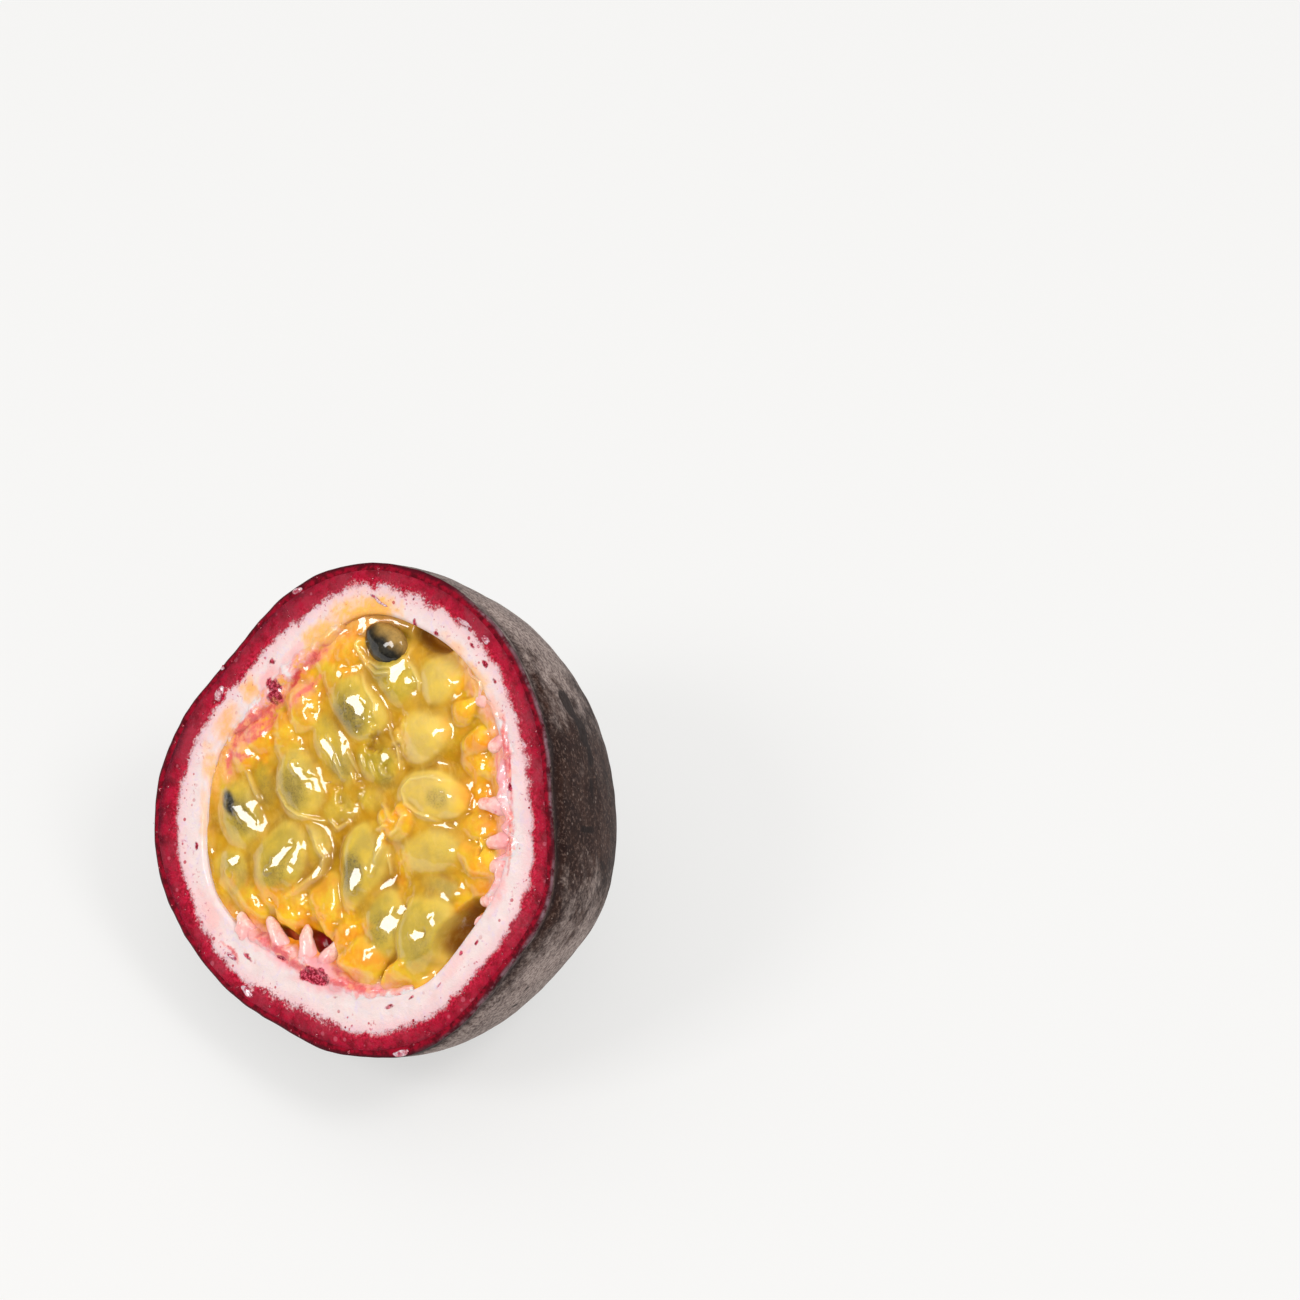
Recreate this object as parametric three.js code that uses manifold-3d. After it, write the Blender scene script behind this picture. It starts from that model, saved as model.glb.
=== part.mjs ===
// A halved purple passion fruit, lying tilted on the flattened spot of its round side.
// Millimetres, +Z up. The origin is the middle of the flat spot that it rests on.
//
// The half is modelled in the frame of its cut: x runs across the cut, y up the cut and
// z out of it, with the cut itself at z = 0. One group then tilts it into place.

import * as THREE from 'three';
import { mergeVertices } from 'three/addons/utils/BufferGeometryUtils.js';
import Module from 'manifold-3d';

// ---------------------------------------------------------------- driving dimensions

const touchGap = 0.3; // between pieces that touch in the real fruit

const cutPose = {
  rise: 43.6, // degrees that the cut's normal points above level
  compass: 222, // degrees from +X towards +Y that it points
  centre: [-3.9, -4.3, 27.7], // middle of the cut above the resting spot
};

// Radii from the middle of the cut, counter-clockwise in 16 equal steps from the x axis.
const skinRadii = [25.5, 25.9, 26.9, 27.6, 28.0, 27.1, 26.0, 27.7,
  29.1, 28.1, 26.9, 26.1, 27.2, 27.5, 26.6, 27.1];
const pithRadii = [22.7, 22.8, 24.1, 24.6, 25.4, 23.5, 22.9, 24.3,
  25.5, 25.0, 24.4, 23.0, 24.3, 24.4, 23.9, 24.1];
const cavityRadii = [19.4, 20.0, 21.2, 21.7, 22.1, 19.4, 18.8, 20.9,
  21.5, 21.9, 20.0, 18.4, 19.9, 21.0, 20.0, 20.2];

const dome = {
  depth: 32.5, // from the cut to the stem end of the skin
  fullness: 0.93, // below 1 the sides stay wide further down
  skinThickness: 0.9,
  redThickness: 3.2, // skin and red rind together
  whiteThickness: 3.8,
  redFloor: 2.5, // height of the red rind's inside over the resting spot
  sides: 32,
  rings: 8,
};

// Three ridges along the cavity's wall. Angles are degrees round the cut, and falls are
// degrees down the wall, from 0 at the cut to 90 at the tip.
const placentaSize = { height: 1.4, edge: 0.6, endFall: 66, across: 6, down: 5 };

const funicleSize = { rootRadius: 0.8, tipRadius: 0.5, sides: 6, rootInset: 0.7 };

// Each stalk that carries a seed: [angle of its root, tip x, tip y, level].
const placentas = [
  {
    name: 'placenta_upper',
    angle: 129,
    halfWidth: 21,
    stalks: [
      [138, -12.2, 9.8, -2.4],
      [123, -8.2, 11.6, -3.2],
      [113, -5.4, 14.2, -2.6],
    ],
  },
  {
    name: 'placenta_right',
    angle: 2,
    halfWidth: 31,
    stalks: [
      [22, 15.4, 6.8, -2.2],
      [8, 15.2, 3.2, -4.2],
      [0, 15.4, 0.3, -1.0],
      [-9, 16.0, -3.9, -1.6],
      [-17, 15.0, -6.8, -4.4],
      [-26, 14.8, -10.6, -2.0],
    ],
  },
  {
    name: 'placenta_lower',
    angle: 249,
    halfWidth: 30,
    stalks: [
      [224, -16.9, -10.2, -1.5],
      [236, -12.6, -11.1, -0.9],
      [245, -7.4, -12.3, -0.9],
      [249, -3.2, -13.6, -1.2],
      [240, -9.9, -11.8, -4.0],
      [254, -5.2, -13.2, -4.2],
    ],
  },
];

const arilSize = { thickness: 5.2, taper: 0.2, sides: 8, rings: 5, lumpSides: 6, lumpRings: 4 };

const seedSize = { length: 5.4, width: 4.0, thickness: 2.6, sides: 7, rings: 5, proud: 0.3 };

// Juice sacs that hold a seed near the cut.
// Each row: [x, y, level, length, width, turn], where turn points at the sac's root.
const seededArils = [
  [2.0, 19.0, -2.6, 6.6, 5.4, 125],
  [3.9, 14.2, -2.7, 8.2, 6.2, 150],
  [10.8, 14.4, -2.9, 7.4, 6.6, 40],
  [-0.9, 12.2, -2.0, 9.2, 6.0, 122],
  [-4.2, 7.9, -2.4, 11.2, 5.0, 113],
  [1.2, 6.2, -3.2, 8.8, 6.2, 130],
  [8.5, 8.4, -2.6, 7.2, 6.2, 15],
  [9.3, 1.4, -2.2, 8.6, 5.2, 2],
  [9.6, -4.5, -2.5, 10.4, 5.4, 356],
  [-8.8, 4.0, -2.0, 9.4, 6.2, 113],
  [-13.2, 3.8, -2.8, 8.6, 5.4, 113],
  [-17.4, 0.7, -2.2, 8.8, 6.8, 122],
  [-17.6, -6.3, -2.4, 8.0, 6.8, 282],
  [-11.0, -5.5, -1.9, 9.6, 7.0, 243],
  [0.4, -6.3, -1.9, 10.2, 6.8, 264],
  [2.6, -12.6, -2.3, 9.4, 5.8, 264],
  [8.1, -14.2, -1.8, 10.4, 6.6, 248],
  [9.7, -9.0, -3.2, 9.4, 4.8, 356],
];

// Sacs whose seeds lie deeper, and the swollen orange root ends by the rind.
const plainArils = [
  [-6.8, -3.6, -2.7, 8.0, 4.8, 250],
  [4.6, -0.7, -1.6, 5.2, 4.4, 40],
  [1.2, 0.6, -3.2, 7.0, 5.4, 300],
  [-3.6, 1.0, -3.0, 7.4, 5.6, 240],
  [13.9, 10.8, -2.0, 4.6, 3.8, 30],
  [16.6, 13.0, -3.0, 4.6, 3.8, 35],
  [15.2, 7.6, -1.8, 4.8, 3.6, 18],
  [15.4, 4.8, -2.4, 4.8, 3.4, 10],
  [15.4, 1.9, -2.9, 4.8, 3.2, 5],
  [15.2, -1.8, -2.3, 5.0, 3.4, 352],
  [15.6, -5.6, -1.9, 5.2, 4.2, 345],
  [15.0, -8.4, -2.5, 5.4, 3.4, 335],
  [12.8, -11.4, -3.0, 6.0, 3.6, 330],
  [-5.4, 17.6, -2.6, 6.4, 4.8, 120],
  [-2.0, 18.4, -2.3, 6.0, 4.6, 105],
  [-3.2, 14.8, -2.2, 6.4, 4.4, 125],
  [-8.2, 11.9, -1.9, 6.8, 4.8, 122],
  [-6.0, 13.6, -2.8, 6.2, 4.4, 122],
  [-10.7, 9.0, -2.2, 6.4, 4.6, 120],
  [-14.2, 9.0, -2.2, 6.0, 4.4, 118],
  [-11.8, 12.2, -3.2, 5.4, 4.2, 128],
  [-16.8, 7.6, -2.3, 5.4, 4.4, 130],
  [-19.6, 4.6, -2.6, 5.0, 4.2, 125],
  [-20.0, -3.0, -3.4, 6.0, 4.4, 100],
  [-15.2, -9.4, -2.4, 6.6, 5.0, 250],
  [-9.6, -10.2, -2.5, 6.8, 5.4, 255],
  [-4.6, -10.0, -2.3, 7.2, 5.2, 262],
  [-1.8, -14.0, -2.7, 6.8, 5.0, 240],
  [0.2, -17.0, -2.2, 6.0, 4.6, 200],
  [5.0, -18.3, -1.4, 5.2, 4.8, 190],
];

// The juicy mass that the sacs stand out of, and the hollows that the cut opened in it.
const juice = { startFall: 6.9, sides: 20, rings: 5 }; // startFall is 3 mm below the cut
const juiceHollows = [
  [8.4, 19.4, -2.8, 6.4, 3.4, 335],
  [13.8, -14.6, -3.2, 5.6, 3.6, 45],
  [-8.4, -14.6, -3.0, 11.0, 4.2, 338],
];

const stemSize = { padRadius: 2.3, padHeight: 0.6, stalkRadius: 1.2, stalkLength: 2.6, sides: 12 };

// ---------------------------------------------------------------- materials

const finishes = {
  skin: { color: 0x4c3d40, roughness: 0.5, metalness: 0 },
  redRind: { color: 0x8c0f2a, roughness: 0.45, metalness: 0 },
  whitePith: { color: 0xf2dcdc, roughness: 0.5, metalness: 0 },
  placenta: { color: 0xf5b6b2, roughness: 0.4, metalness: 0 },
  pulp: { color: 0xe3a92c, roughness: 0.2, metalness: 0 },
  seed: { color: 0x35322b, roughness: 0.3, metalness: 0 },
  stem: { color: 0x8a8f3c, roughness: 0.7, metalness: 0 },
};

// ---------------------------------------------------------------- small helpers

const wasm = await Module();
wasm.setup();

const degrees = THREE.MathUtils.degToRad;

// The cut's own axes in the part's frame, and straight up as seen from the cut.
const levelReach = Math.cos(degrees(cutPose.rise));
const outOfCut = new THREE.Vector3(
  levelReach * Math.cos(degrees(cutPose.compass)),
  levelReach * Math.sin(degrees(cutPose.compass)),
  Math.sin(degrees(cutPose.rise)),
);
const upCut = new THREE.Vector3(0, outOfCut.z, -outOfCut.y).normalize();
const acrossCut = new THREE.Vector3().crossVectors(upCut, outOfCut);
const upwards = new THREE.Vector3(acrossCut.z, upCut.z, outOfCut.z);

// Radius of a closed outline at any angle: a Catmull-Rom curve through its 16 radii.
function radiusAt(radii, angle) {
  const count = radii.length;
  const place = ((angle / (2 * Math.PI)) * count + count) % count;
  const start = Math.floor(place);
  const t = place - start;
  const [a, b, c, d] = [-1, 0, 1, 2].map((step) => radii[(start + step + count) % count]);
  const bend = 2 * a - 5 * b + 4 * c - d + (3 * b - a - 3 * c + d) * t;
  return b + 0.5 * t * (c - a + t * bend);
}

// How far a wall stands from the fruit's own axis.
function reachOf(wall, angle, fall) {
  const mean = wall.radii.reduce((sum, radius) => sum + radius, 0) / wall.radii.length;
  const bumps = (radiusAt(wall.radii, angle) - mean) * Math.cos(fall);
  return (mean + bumps - wall.inset) * Math.cos(fall) ** dome.fullness;
}

// A point of a domed wall: angle turns round the cut, fall goes from 0 at the cut to 90
// degrees at the tip. The outline's bumps fade towards the tip, and what would lie lower
// than the wall's floor is pressed flat.
function wallPoint(wall, angle, fall) {
  const reach = reachOf(wall, angle, fall);
  const level = -wall.depth * Math.sin(fall);
  const point = new THREE.Vector3(reach * Math.cos(angle), reach * Math.sin(angle), level);
  const height = cutPose.centre[2] + point.dot(upwards);
  return point.addScaledVector(upwards, Math.max(0, wall.floor - height));
}

// A wall with the given outline and depth, drawn in by inset. It starts startFall degrees
// down and goes no lower than floor above the surface that the fruit rests on.
function wallOf(radii, depth, { inset = 0, startFall = 0, floor = 0 } = {}) {
  return { radii, depth: depth - inset, inset, startFall: degrees(startFall), floor };
}

function geometryOf(points, triangles) {
  const geometry = new THREE.BufferGeometry();
  geometry.setFromPoints(points);
  geometry.setIndex(triangles.flat());
  return geometry;
}

// ---------------------------------------------------------------- domed shells

// Rings of points down one wall, and its tip as the last point.
function wallRings(wall, { sides, rings }) {
  const points = [];
  for (let ring = 0; ring < rings; ring += 1) {
    const fall = THREE.MathUtils.lerp(wall.startFall, 0.5 * Math.PI, ring / rings);
    for (let side = 0; side < sides; side += 1) {
      points.push(wallPoint(wall, (side / sides) * 2 * Math.PI, fall));
    }
  }
  points.push(new THREE.Vector3(0, 0, -wall.depth));
  return points;
}

// Triangles of one wall whose points start at base, facing outwards or inwards.
function wallTriangles(base, facesOut, { sides, rings }) {
  const triangles = [];
  const tip = base + rings * sides;
  for (let ring = 0; ring < rings; ring += 1) {
    for (let side = 0; side < sides; side += 1) {
      const next = (side + 1) % sides;
      const here = base + ring * sides;
      const below = here + sides;
      if (ring === rings - 1) {
        triangles.push([here + side, tip, here + next]);
      } else {
        triangles.push([here + side, below + side, below + next]);
        triangles.push([here + side, below + next, here + next]);
      }
    }
  }
  return facesOut ? triangles : triangles.map(([a, b, c]) => [a, c, b]);
}

// A cup between an outer and an inner wall, closed by a flat ring at the cut.
function cup(outer, inner) {
  const outerPoints = wallRings(outer, dome);
  const innerPoints = wallRings(inner, dome);
  const base = outerPoints.length;
  const rim = [];
  for (let side = 0; side < dome.sides; side += 1) {
    const next = (side + 1) % dome.sides;
    rim.push([side, next, base + next], [side, base + next, base + side]);
  }
  return geometryOf(
    [...outerPoints, ...innerPoints],
    [...wallTriangles(0, true, dome), ...wallTriangles(base, false, dome), ...rim],
  );
}

// A solid bowl inside one wall, closed by a flat lid where the wall starts.
function bowl(wall, steps) {
  const points = wallRings(wall, steps);
  const middle = points.length;
  points.push(new THREE.Vector3(0, 0, points[0].z));
  const lid = [];
  for (let side = 0; side < steps.sides; side += 1) {
    lid.push([side, (side + 1) % steps.sides, middle]);
  }
  return geometryOf(points, [...wallTriangles(0, true, steps), ...lid]);
}

// ---------------------------------------------------------------- joining and cutting

function toSolid(geometry) {
  const bare = geometry.clone();
  bare.deleteAttribute('normal');
  bare.deleteAttribute('uv');
  const merged = mergeVertices(bare);
  return new wasm.Manifold(new wasm.Mesh({
    numProp: 3,
    vertProperties: new Float32Array(merged.attributes.position.array),
    triVerts: new Uint32Array(merged.index.array),
  }));
}

function toGeometry(solid) {
  const mesh = solid.getMesh();
  const geometry = new THREE.BufferGeometry();
  geometry.setAttribute('position', new THREE.BufferAttribute(mesh.vertProperties, 3));
  geometry.setIndex(new THREE.BufferAttribute(mesh.triVerts, 1));
  return geometry;
}

const joined = (solids) => solids.reduce((whole, solid) => whole.add(solid));

// The largest body of a solid, without loose scraps.
function largestBody(solid) {
  return solid.decompose().reduce((best, piece) => (piece.volume() > best.volume() ? piece : best));
}

// ---------------------------------------------------------------- sacs and seeds

// An egg shape with its narrow end along +x, turned in the cut and moved into place.
function egg({ size, taper, sides, rings, turn, at }) {
  const geometry = new THREE.SphereGeometry(0.5, sides, rings);
  geometry.rotateZ(-0.5 * Math.PI);
  const place = geometry.attributes.position;
  for (let i = 0; i < place.count; i += 1) {
    const narrow = 1 - 2 * taper * place.getX(i);
    place.setXYZ(
      i,
      place.getX(i) * size[0],
      place.getY(i) * size[1] * narrow,
      place.getZ(i) * size[2] * narrow,
    );
  }
  geometry.rotateZ(degrees(turn));
  geometry.translate(...at);
  return geometry;
}

function aril([x, y, level, length, width, turn], sides, rings) {
  const size = [length, width, Math.min(arilSize.thickness, width)];
  return egg({ size, taper: arilSize.taper, sides, rings, turn, at: [x, y, level] });
}

// A seed lies in the front of its sac and stands a little proud of it. With grow, the
// same shape is the pocket that it sits in.
function seed([x, y, level, , width, turn], grow = 0) {
  const front = level + 0.5 * Math.min(arilSize.thickness, width) + seedSize.proud;
  return egg({
    size: [seedSize.length + 2 * grow, seedSize.width + 2 * grow, seedSize.thickness + 2 * grow],
    taper: 0,
    sides: seedSize.sides,
    rings: seedSize.rings,
    turn,
    at: [x, y, front - 0.5 * seedSize.thickness],
  });
}

// ---------------------------------------------------------------- placentas

// How thick a ridge is at an angle round the cut: bowed across its width. It is 0 beside
// the ridge, counted from margin degrees past its edge.
function ridgeThickness(placenta, angle, margin = 0) {
  const turn = THREE.MathUtils.euclideanModulo(angle - degrees(placenta.angle) + Math.PI, 2 * Math.PI);
  const sideways = (turn - Math.PI) / degrees(placenta.halfWidth);
  const bow = (placentaSize.height - placentaSize.edge) * Math.max(0, 1 - sideways ** 2);
  const reach = 1.001 + margin / placenta.halfWidth;
  return Math.abs(sideways) > reach ? 0 : placentaSize.edge + bow;
}

// A ridge that lies along the cavity's wall.
function placentaRidge(placenta) {
  const { across, down, endFall } = placentaSize;
  const points = [];
  for (const isFront of [false, true]) {
    for (let j = 0; j <= down; j += 1) {
      for (let i = 0; i <= across; i += 1) {
        const angle = degrees(placenta.angle + ((2 * i) / across - 1) * placenta.halfWidth);
        const inset = touchGap + (isFront ? ridgeThickness(placenta, angle) : 0);
        const wall = wallOf(cavityRadii, cavityDepth, { inset });
        points.push(wallPoint(wall, angle, degrees((j / down) * endFall)));
      }
    }
  }
  return geometryOf(points, slabTriangles(across, down));
}

// Triangles of a slab with two grids of (across + 1) by (down + 1) points, back first.
function slabTriangles(across, down) {
  const row = across + 1;
  const face = row * (down + 1);
  const triangles = [];
  const quad = (a, b, c, d) => triangles.push([a, b, c], [a, c, d]);
  for (let j = 0; j < down; j += 1) {
    for (let i = 0; i < across; i += 1) {
      const a = j * row + i;
      quad(a, a + row, a + row + 1, a + 1);
      quad(face + a, face + a + 1, face + a + row + 1, face + a + row);
    }
    const left = j * row;
    const right = left + across;
    quad(left, face + left, face + left + row, left + row);
    quad(right, right + row, face + right + row, face + right);
  }
  for (let i = 0; i < across; i += 1) {
    const end = down * row + i;
    quad(i, i + 1, face + i + 1, face + i);
    quad(end, face + end, face + end + 1, end + 1);
  }
  return triangles;
}

// A tapered stalk from inside its ridge to its tip. With grow, it is the room it takes.
function funicle([rootAngle, tipX, tipY, level], grow = 0) {
  const inset = touchGap + funicleSize.rootInset;
  const fall = Math.asin(-level / cavityDepth);
  const root = wallPoint(wallOf(cavityRadii, cavityDepth, { inset }), degrees(rootAngle), fall);
  root.z = level;
  const tip = new THREE.Vector3(tipX, tipY, level);
  const along = tip.clone().sub(root).normalize();
  tip.addScaledVector(along, grow);
  const geometry = new THREE.CylinderGeometry(
    funicleSize.tipRadius + grow,
    funicleSize.rootRadius + grow,
    root.distanceTo(tip),
    funicleSize.sides,
  );
  const turn = new THREE.Quaternion().setFromUnitVectors(new THREE.Vector3(0, 1, 0), along);
  geometry.applyQuaternion(turn);
  geometry.translate(...root.lerp(tip, 0.5));
  return geometry;
}

function placentaGeometry(placenta) {
  const stalks = placenta.stalks.map((stalk) => funicle(stalk));
  return toGeometry(joined([placentaRidge(placenta), ...stalks].map(toSolid)));
}

// ---------------------------------------------------------------- the pieces

const redInnerDepth = dome.depth - dome.redThickness;
const cavityDepth = redInnerDepth - touchGap - dome.whiteThickness;
const redInset = dome.skinThickness + touchGap;
const pulpInset = touchGap + 0.2; // the rind's inside is faceted, so it stands in a little
const facetTurn = 360 / dome.sides + 1; // degrees that a facet of the wall may span
const massInset = pulpInset + 0.5; // the sacs stand a little out of the juicy mass

function skinShell() {
  const inner = { inset: dome.skinThickness, floor: dome.skinThickness };
  return cup(wallOf(skinRadii, dome.depth), wallOf(skinRadii, dome.depth, inner));
}

function redRindShell() {
  const outer = wallOf(skinRadii, dome.depth, { inset: redInset, floor: redInset });
  return cup(outer, wallOf(pithRadii, redInnerDepth, { floor: dome.redFloor }));
}

function whitePithShell() {
  const outer = { inset: touchGap, floor: dome.redFloor + touchGap };
  return cup(wallOf(pithRadii, redInnerDepth, outer), wallOf(cavityRadii, cavityDepth));
}

// The cavity's wall as the pulp meets it, drawn in where a ridge lies on it.
function pressingWall(angle, fall) {
  const ridges = placentas.map((placenta) => ridgeThickness(placenta, angle, facetTurn));
  const isBeside = fall < degrees(placentaSize.endFall + facetTurn);
  const thickest = isBeside ? Math.max(...ridges) : 0;
  const inset = pulpInset + thickest + (thickest > 0 ? touchGap : 0);
  return wallOf(cavityRadii, cavityDepth, { inset });
}

// Presses soft sacs back from the cavity's wall, towards the middle of the cut.
function pressInside(geometry) {
  const place = geometry.attributes.position;
  for (let i = 0; i < place.count; i += 1) {
    const angle = Math.atan2(place.getY(i), place.getX(i));
    const reach = Math.hypot(place.getX(i), place.getY(i));
    const below = Math.max(0, -place.getZ(i));
    const fall = Math.atan2(below / cavityDepth, reach / radiusAt(cavityRadii, angle));
    const wall = pressingWall(angle, fall);
    const room = Math.hypot(reachOf(wall, angle, fall), wall.depth * Math.sin(fall));
    const press = Math.min(1, room / Math.max(Math.hypot(reach, below), 0.01));
    const level = below > 0 ? place.getZ(i) * press : place.getZ(i);
    place.setXYZ(i, place.getX(i) * press, place.getY(i) * press, level);
  }
  return geometry;
}

function pulpGeometry() {
  const massWall = { inset: massInset, startFall: juice.startFall };
  const mass = bowl(wallOf(cavityRadii, cavityDepth, massWall), juice);
  const { sides, rings, lumpSides, lumpRings } = arilSize;
  const sacs = [
    ...seededArils.map((row) => aril(row, sides, rings)),
    ...plainArils.map((row) => aril(row, lumpSides, lumpRings)),
  ];
  const hollows = juiceHollows.map((row) => aril(row, lumpSides, lumpRings));
  const pulp = joined([mass, ...sacs].map((geometry) => toSolid(pressInside(geometry))));
  const stalks = placentas.flatMap((placenta) => placenta.stalks);
  const cutters = [
    ...hollows,
    ...stalks.map((stalk) => funicle(stalk, touchGap)),
    ...seededArils.map((row) => seed(row, touchGap)),
  ];
  return toGeometry(largestBody(pulp.subtract(joined(cutters.map(toSolid)))));
}

// The calyx pad and the dried end of the stem, turned on the fruit's own axis.
function stemGeometry() {
  const { padRadius, padHeight, stalkRadius, stalkLength, sides } = stemSize;
  const profile = [
    [0, 0],
    [padRadius, 0],
    [0.9 * padRadius, padHeight],
    [stalkRadius, 1.5 * padHeight],
    [0.85 * stalkRadius, 0.7 * stalkLength],
    [stalkRadius, stalkLength],
    [0, 0.92 * stalkLength],
  ].map(([radius, height]) => new THREE.Vector2(radius, height));
  const geometry = new THREE.LatheGeometry(profile, sides);
  geometry.rotateX(-0.5 * Math.PI);
  geometry.translate(0, 0, -dome.depth - touchGap);
  return geometry;
}

// ---------------------------------------------------------------- the half fruit

function named(name, geometry, finish) {
  const mesh = new THREE.Mesh(geometry, new THREE.MeshStandardMaterial(finish));
  mesh.name = name;
  return mesh;
}

const half = new THREE.Group();
half.quaternion.setFromRotationMatrix(new THREE.Matrix4().makeBasis(acrossCut, upCut, outOfCut));
half.position.set(...cutPose.centre);

half.add(
  named('skin', skinShell(), finishes.skin),
  named('red_rind', redRindShell(), finishes.redRind),
  named('white_pith', whitePithShell(), finishes.whitePith),
  named('pulp', pulpGeometry(), finishes.pulp),
  named('stem_end', stemGeometry(), finishes.stem),
);
for (const placenta of placentas) {
  half.add(named(placenta.name, placentaGeometry(placenta), finishes.placenta));
}
seededArils.forEach((row, i) => {
  const number = String(i + 1).padStart(2, '0');
  half.add(named(`seed_${number}`, seed(row), finishes.seed));
});

const passionFruit = new THREE.Group();
passionFruit.add(half);

export default passionFruit;
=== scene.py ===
import math
import bpy
import numpy as np
from mathutils import Matrix, Vector


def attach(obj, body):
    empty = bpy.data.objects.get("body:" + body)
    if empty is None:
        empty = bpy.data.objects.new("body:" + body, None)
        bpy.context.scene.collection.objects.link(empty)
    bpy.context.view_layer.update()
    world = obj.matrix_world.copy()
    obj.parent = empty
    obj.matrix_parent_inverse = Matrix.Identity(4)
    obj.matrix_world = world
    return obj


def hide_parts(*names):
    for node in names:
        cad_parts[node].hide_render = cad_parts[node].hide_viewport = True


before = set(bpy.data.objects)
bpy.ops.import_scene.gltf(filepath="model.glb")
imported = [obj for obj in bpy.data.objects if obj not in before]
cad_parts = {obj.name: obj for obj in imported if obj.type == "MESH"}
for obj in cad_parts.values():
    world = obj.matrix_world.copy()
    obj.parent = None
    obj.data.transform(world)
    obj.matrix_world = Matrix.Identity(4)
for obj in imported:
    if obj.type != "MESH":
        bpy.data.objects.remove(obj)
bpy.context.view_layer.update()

# The half fruit is worked out in the frame of its cut, in millimetres: x runs across the
# cut, y up the cut and z out of it. toPart then puts every point into the part's frame.
# An unevenness is written (height in mm, width in mm, random seed).

cutPose = {
    "rise": 43.6,                    # degrees that the cut's normal points above level
    "compass": 222.0,                # degrees from +X towards +Y that it points
    "centre": (-3.9, -4.3, 27.7),    # middle of the cut, mm above the resting spot
}

rind = {
    "skinRadii": (25.5, 25.9, 26.9, 27.6, 28.0, 27.1, 26.0, 27.7,
                  29.1, 28.1, 26.9, 26.1, 27.2, 27.5, 26.6, 27.1),
    "pithRadii": (22.7, 22.8, 24.1, 24.6, 25.4, 23.5, 22.9, 24.3,
                  25.5, 25.0, 24.4, 23.0, 24.3, 24.4, 23.9, 24.1),
    "cavityRadii": (19.4, 20.0, 21.2, 21.7, 22.1, 19.4, 18.8, 20.9,
                    21.5, 21.9, 20.0, 18.4, 19.9, 21.0, 20.0, 20.2),
    "depth": 32.5,                   # from the cut to the stem end
    "fullness": 0.93,                # under 1 the dome is fuller than an ellipsoid
    "peelThickness": 0.9,
    "redThickness": 3.2,             # peel and red flesh together
    "whiteThickness": 3.8,
    "tipThickening": 0.3,            # mm more of pith at the stem end
}
rind["redDepth"] = rind["depth"] - rind["redThickness"]
rind["cavityDepth"] = rind["redDepth"] - rind["tipThickening"] - rind["whiteThickness"]

riseAngle, compassAngle = math.radians(cutPose["rise"]), math.radians(cutPose["compass"])
outOfCut = np.array([math.cos(riseAngle) * math.cos(compassAngle),
                     math.cos(riseAngle) * math.sin(compassAngle), math.sin(riseAngle)])
upCut = np.array([0.0, outOfCut[2], -outOfCut[1]])
upCut /= np.linalg.norm(upCut)
acrossCut = np.cross(upCut, outOfCut)
cutAxes = np.stack([acrossCut, upCut, outOfCut])
cutCentre = np.array(cutPose["centre"])


# part = (centre + x across + y up + z out) / 1000
def toPart(points):
    return (cutCentre + points @ cutAxes) / 1000.0


# Height over the resting spot, mm, of points in the cut's frame.
def heightOf(points):
    return cutCentre[2] + points @ cutAxes[:, 2]


# Raises what lies lower than floor: height' = floor + (h + sqrt(h^2 + soft^2)) / 2, h = height - floor.
def restOn(points, floor, soft=0.3):
    over = heightOf(points) - floor
    lifted = 0.5 * (over + np.sqrt(over ** 2 + soft ** 2))
    return points + (lifted - over)[..., None] * cutAxes[:, 2]


# Closed Catmull-Rom curve through evenly spaced radii, at any angle in radians.
def radiusAt(radii, angle):
    radii = np.asarray(radii)
    place = (angle / (2 * np.pi) * len(radii)) % len(radii)
    start = np.floor(place).astype(int)
    t = place - start
    a, b, c, d = (radii[(start + step) % len(radii)] for step in (-1, 0, 1, 2))
    return b + 0.5 * t * (c - a + t * (2 * a - 5 * b + 4 * c - d + (3 * b - a - 3 * c + d) * t))


# Smooth value noise, -1 to 1: random corners of a repeating lattice, eased between corners.
def smoothNoise(points, cell, seed):
    side = 32
    lattice = np.random.default_rng(seed).uniform(-1, 1, (side, side, side))
    spot = points / cell
    corner = np.floor(spot).astype(int)
    t = spot - corner
    tx, ty, tz = np.moveaxis(t * t * (3 - 2 * t), -1, 0)
    i, j, k = np.moveaxis(corner, -1, 0)
    total = np.zeros(points.shape[:-1])
    for dx, dy, dz in np.ndindex(2, 2, 2):
        weight = np.abs(1 - dx - tx) * np.abs(1 - dy - ty) * np.abs(1 - dz - tz)
        total += weight * lattice[(i + dx) % side, (j + dy) % side, (k + dz) % side]
    return total


# The sum of several unevennesses, each (height, width, seed).
def waver(points, *layers):
    return sum(height * smoothNoise(points, width, seed) for height, width, seed in layers)


def smoothStep(low, high, value):
    t = np.clip((value - low) / (high - low), 0, 1)
    return t * t * (3 - 2 * t)


# 1 at distance 0, falling off as exp(-(distance / width)^2).
def bell(distance, width):
    return np.exp(-(distance / width) ** 2)


# Distances along and across an oval, as shares of its half sizes.
def inOval(x, y, placeX, placeY, halfLong, halfWide, turn):
    t = math.radians(turn)
    along = (x - placeX) * math.cos(t) + (y - placeY) * math.sin(t)
    across = (y - placeY) * math.cos(t) - (x - placeX) * math.sin(t)
    return along / halfLong, across / halfWide


# 0 in the middle of an oval, 1 on its outline.
def ovalDistance(x, y, oval):
    return np.hypot(*inOval(x, y, *oval))


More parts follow.
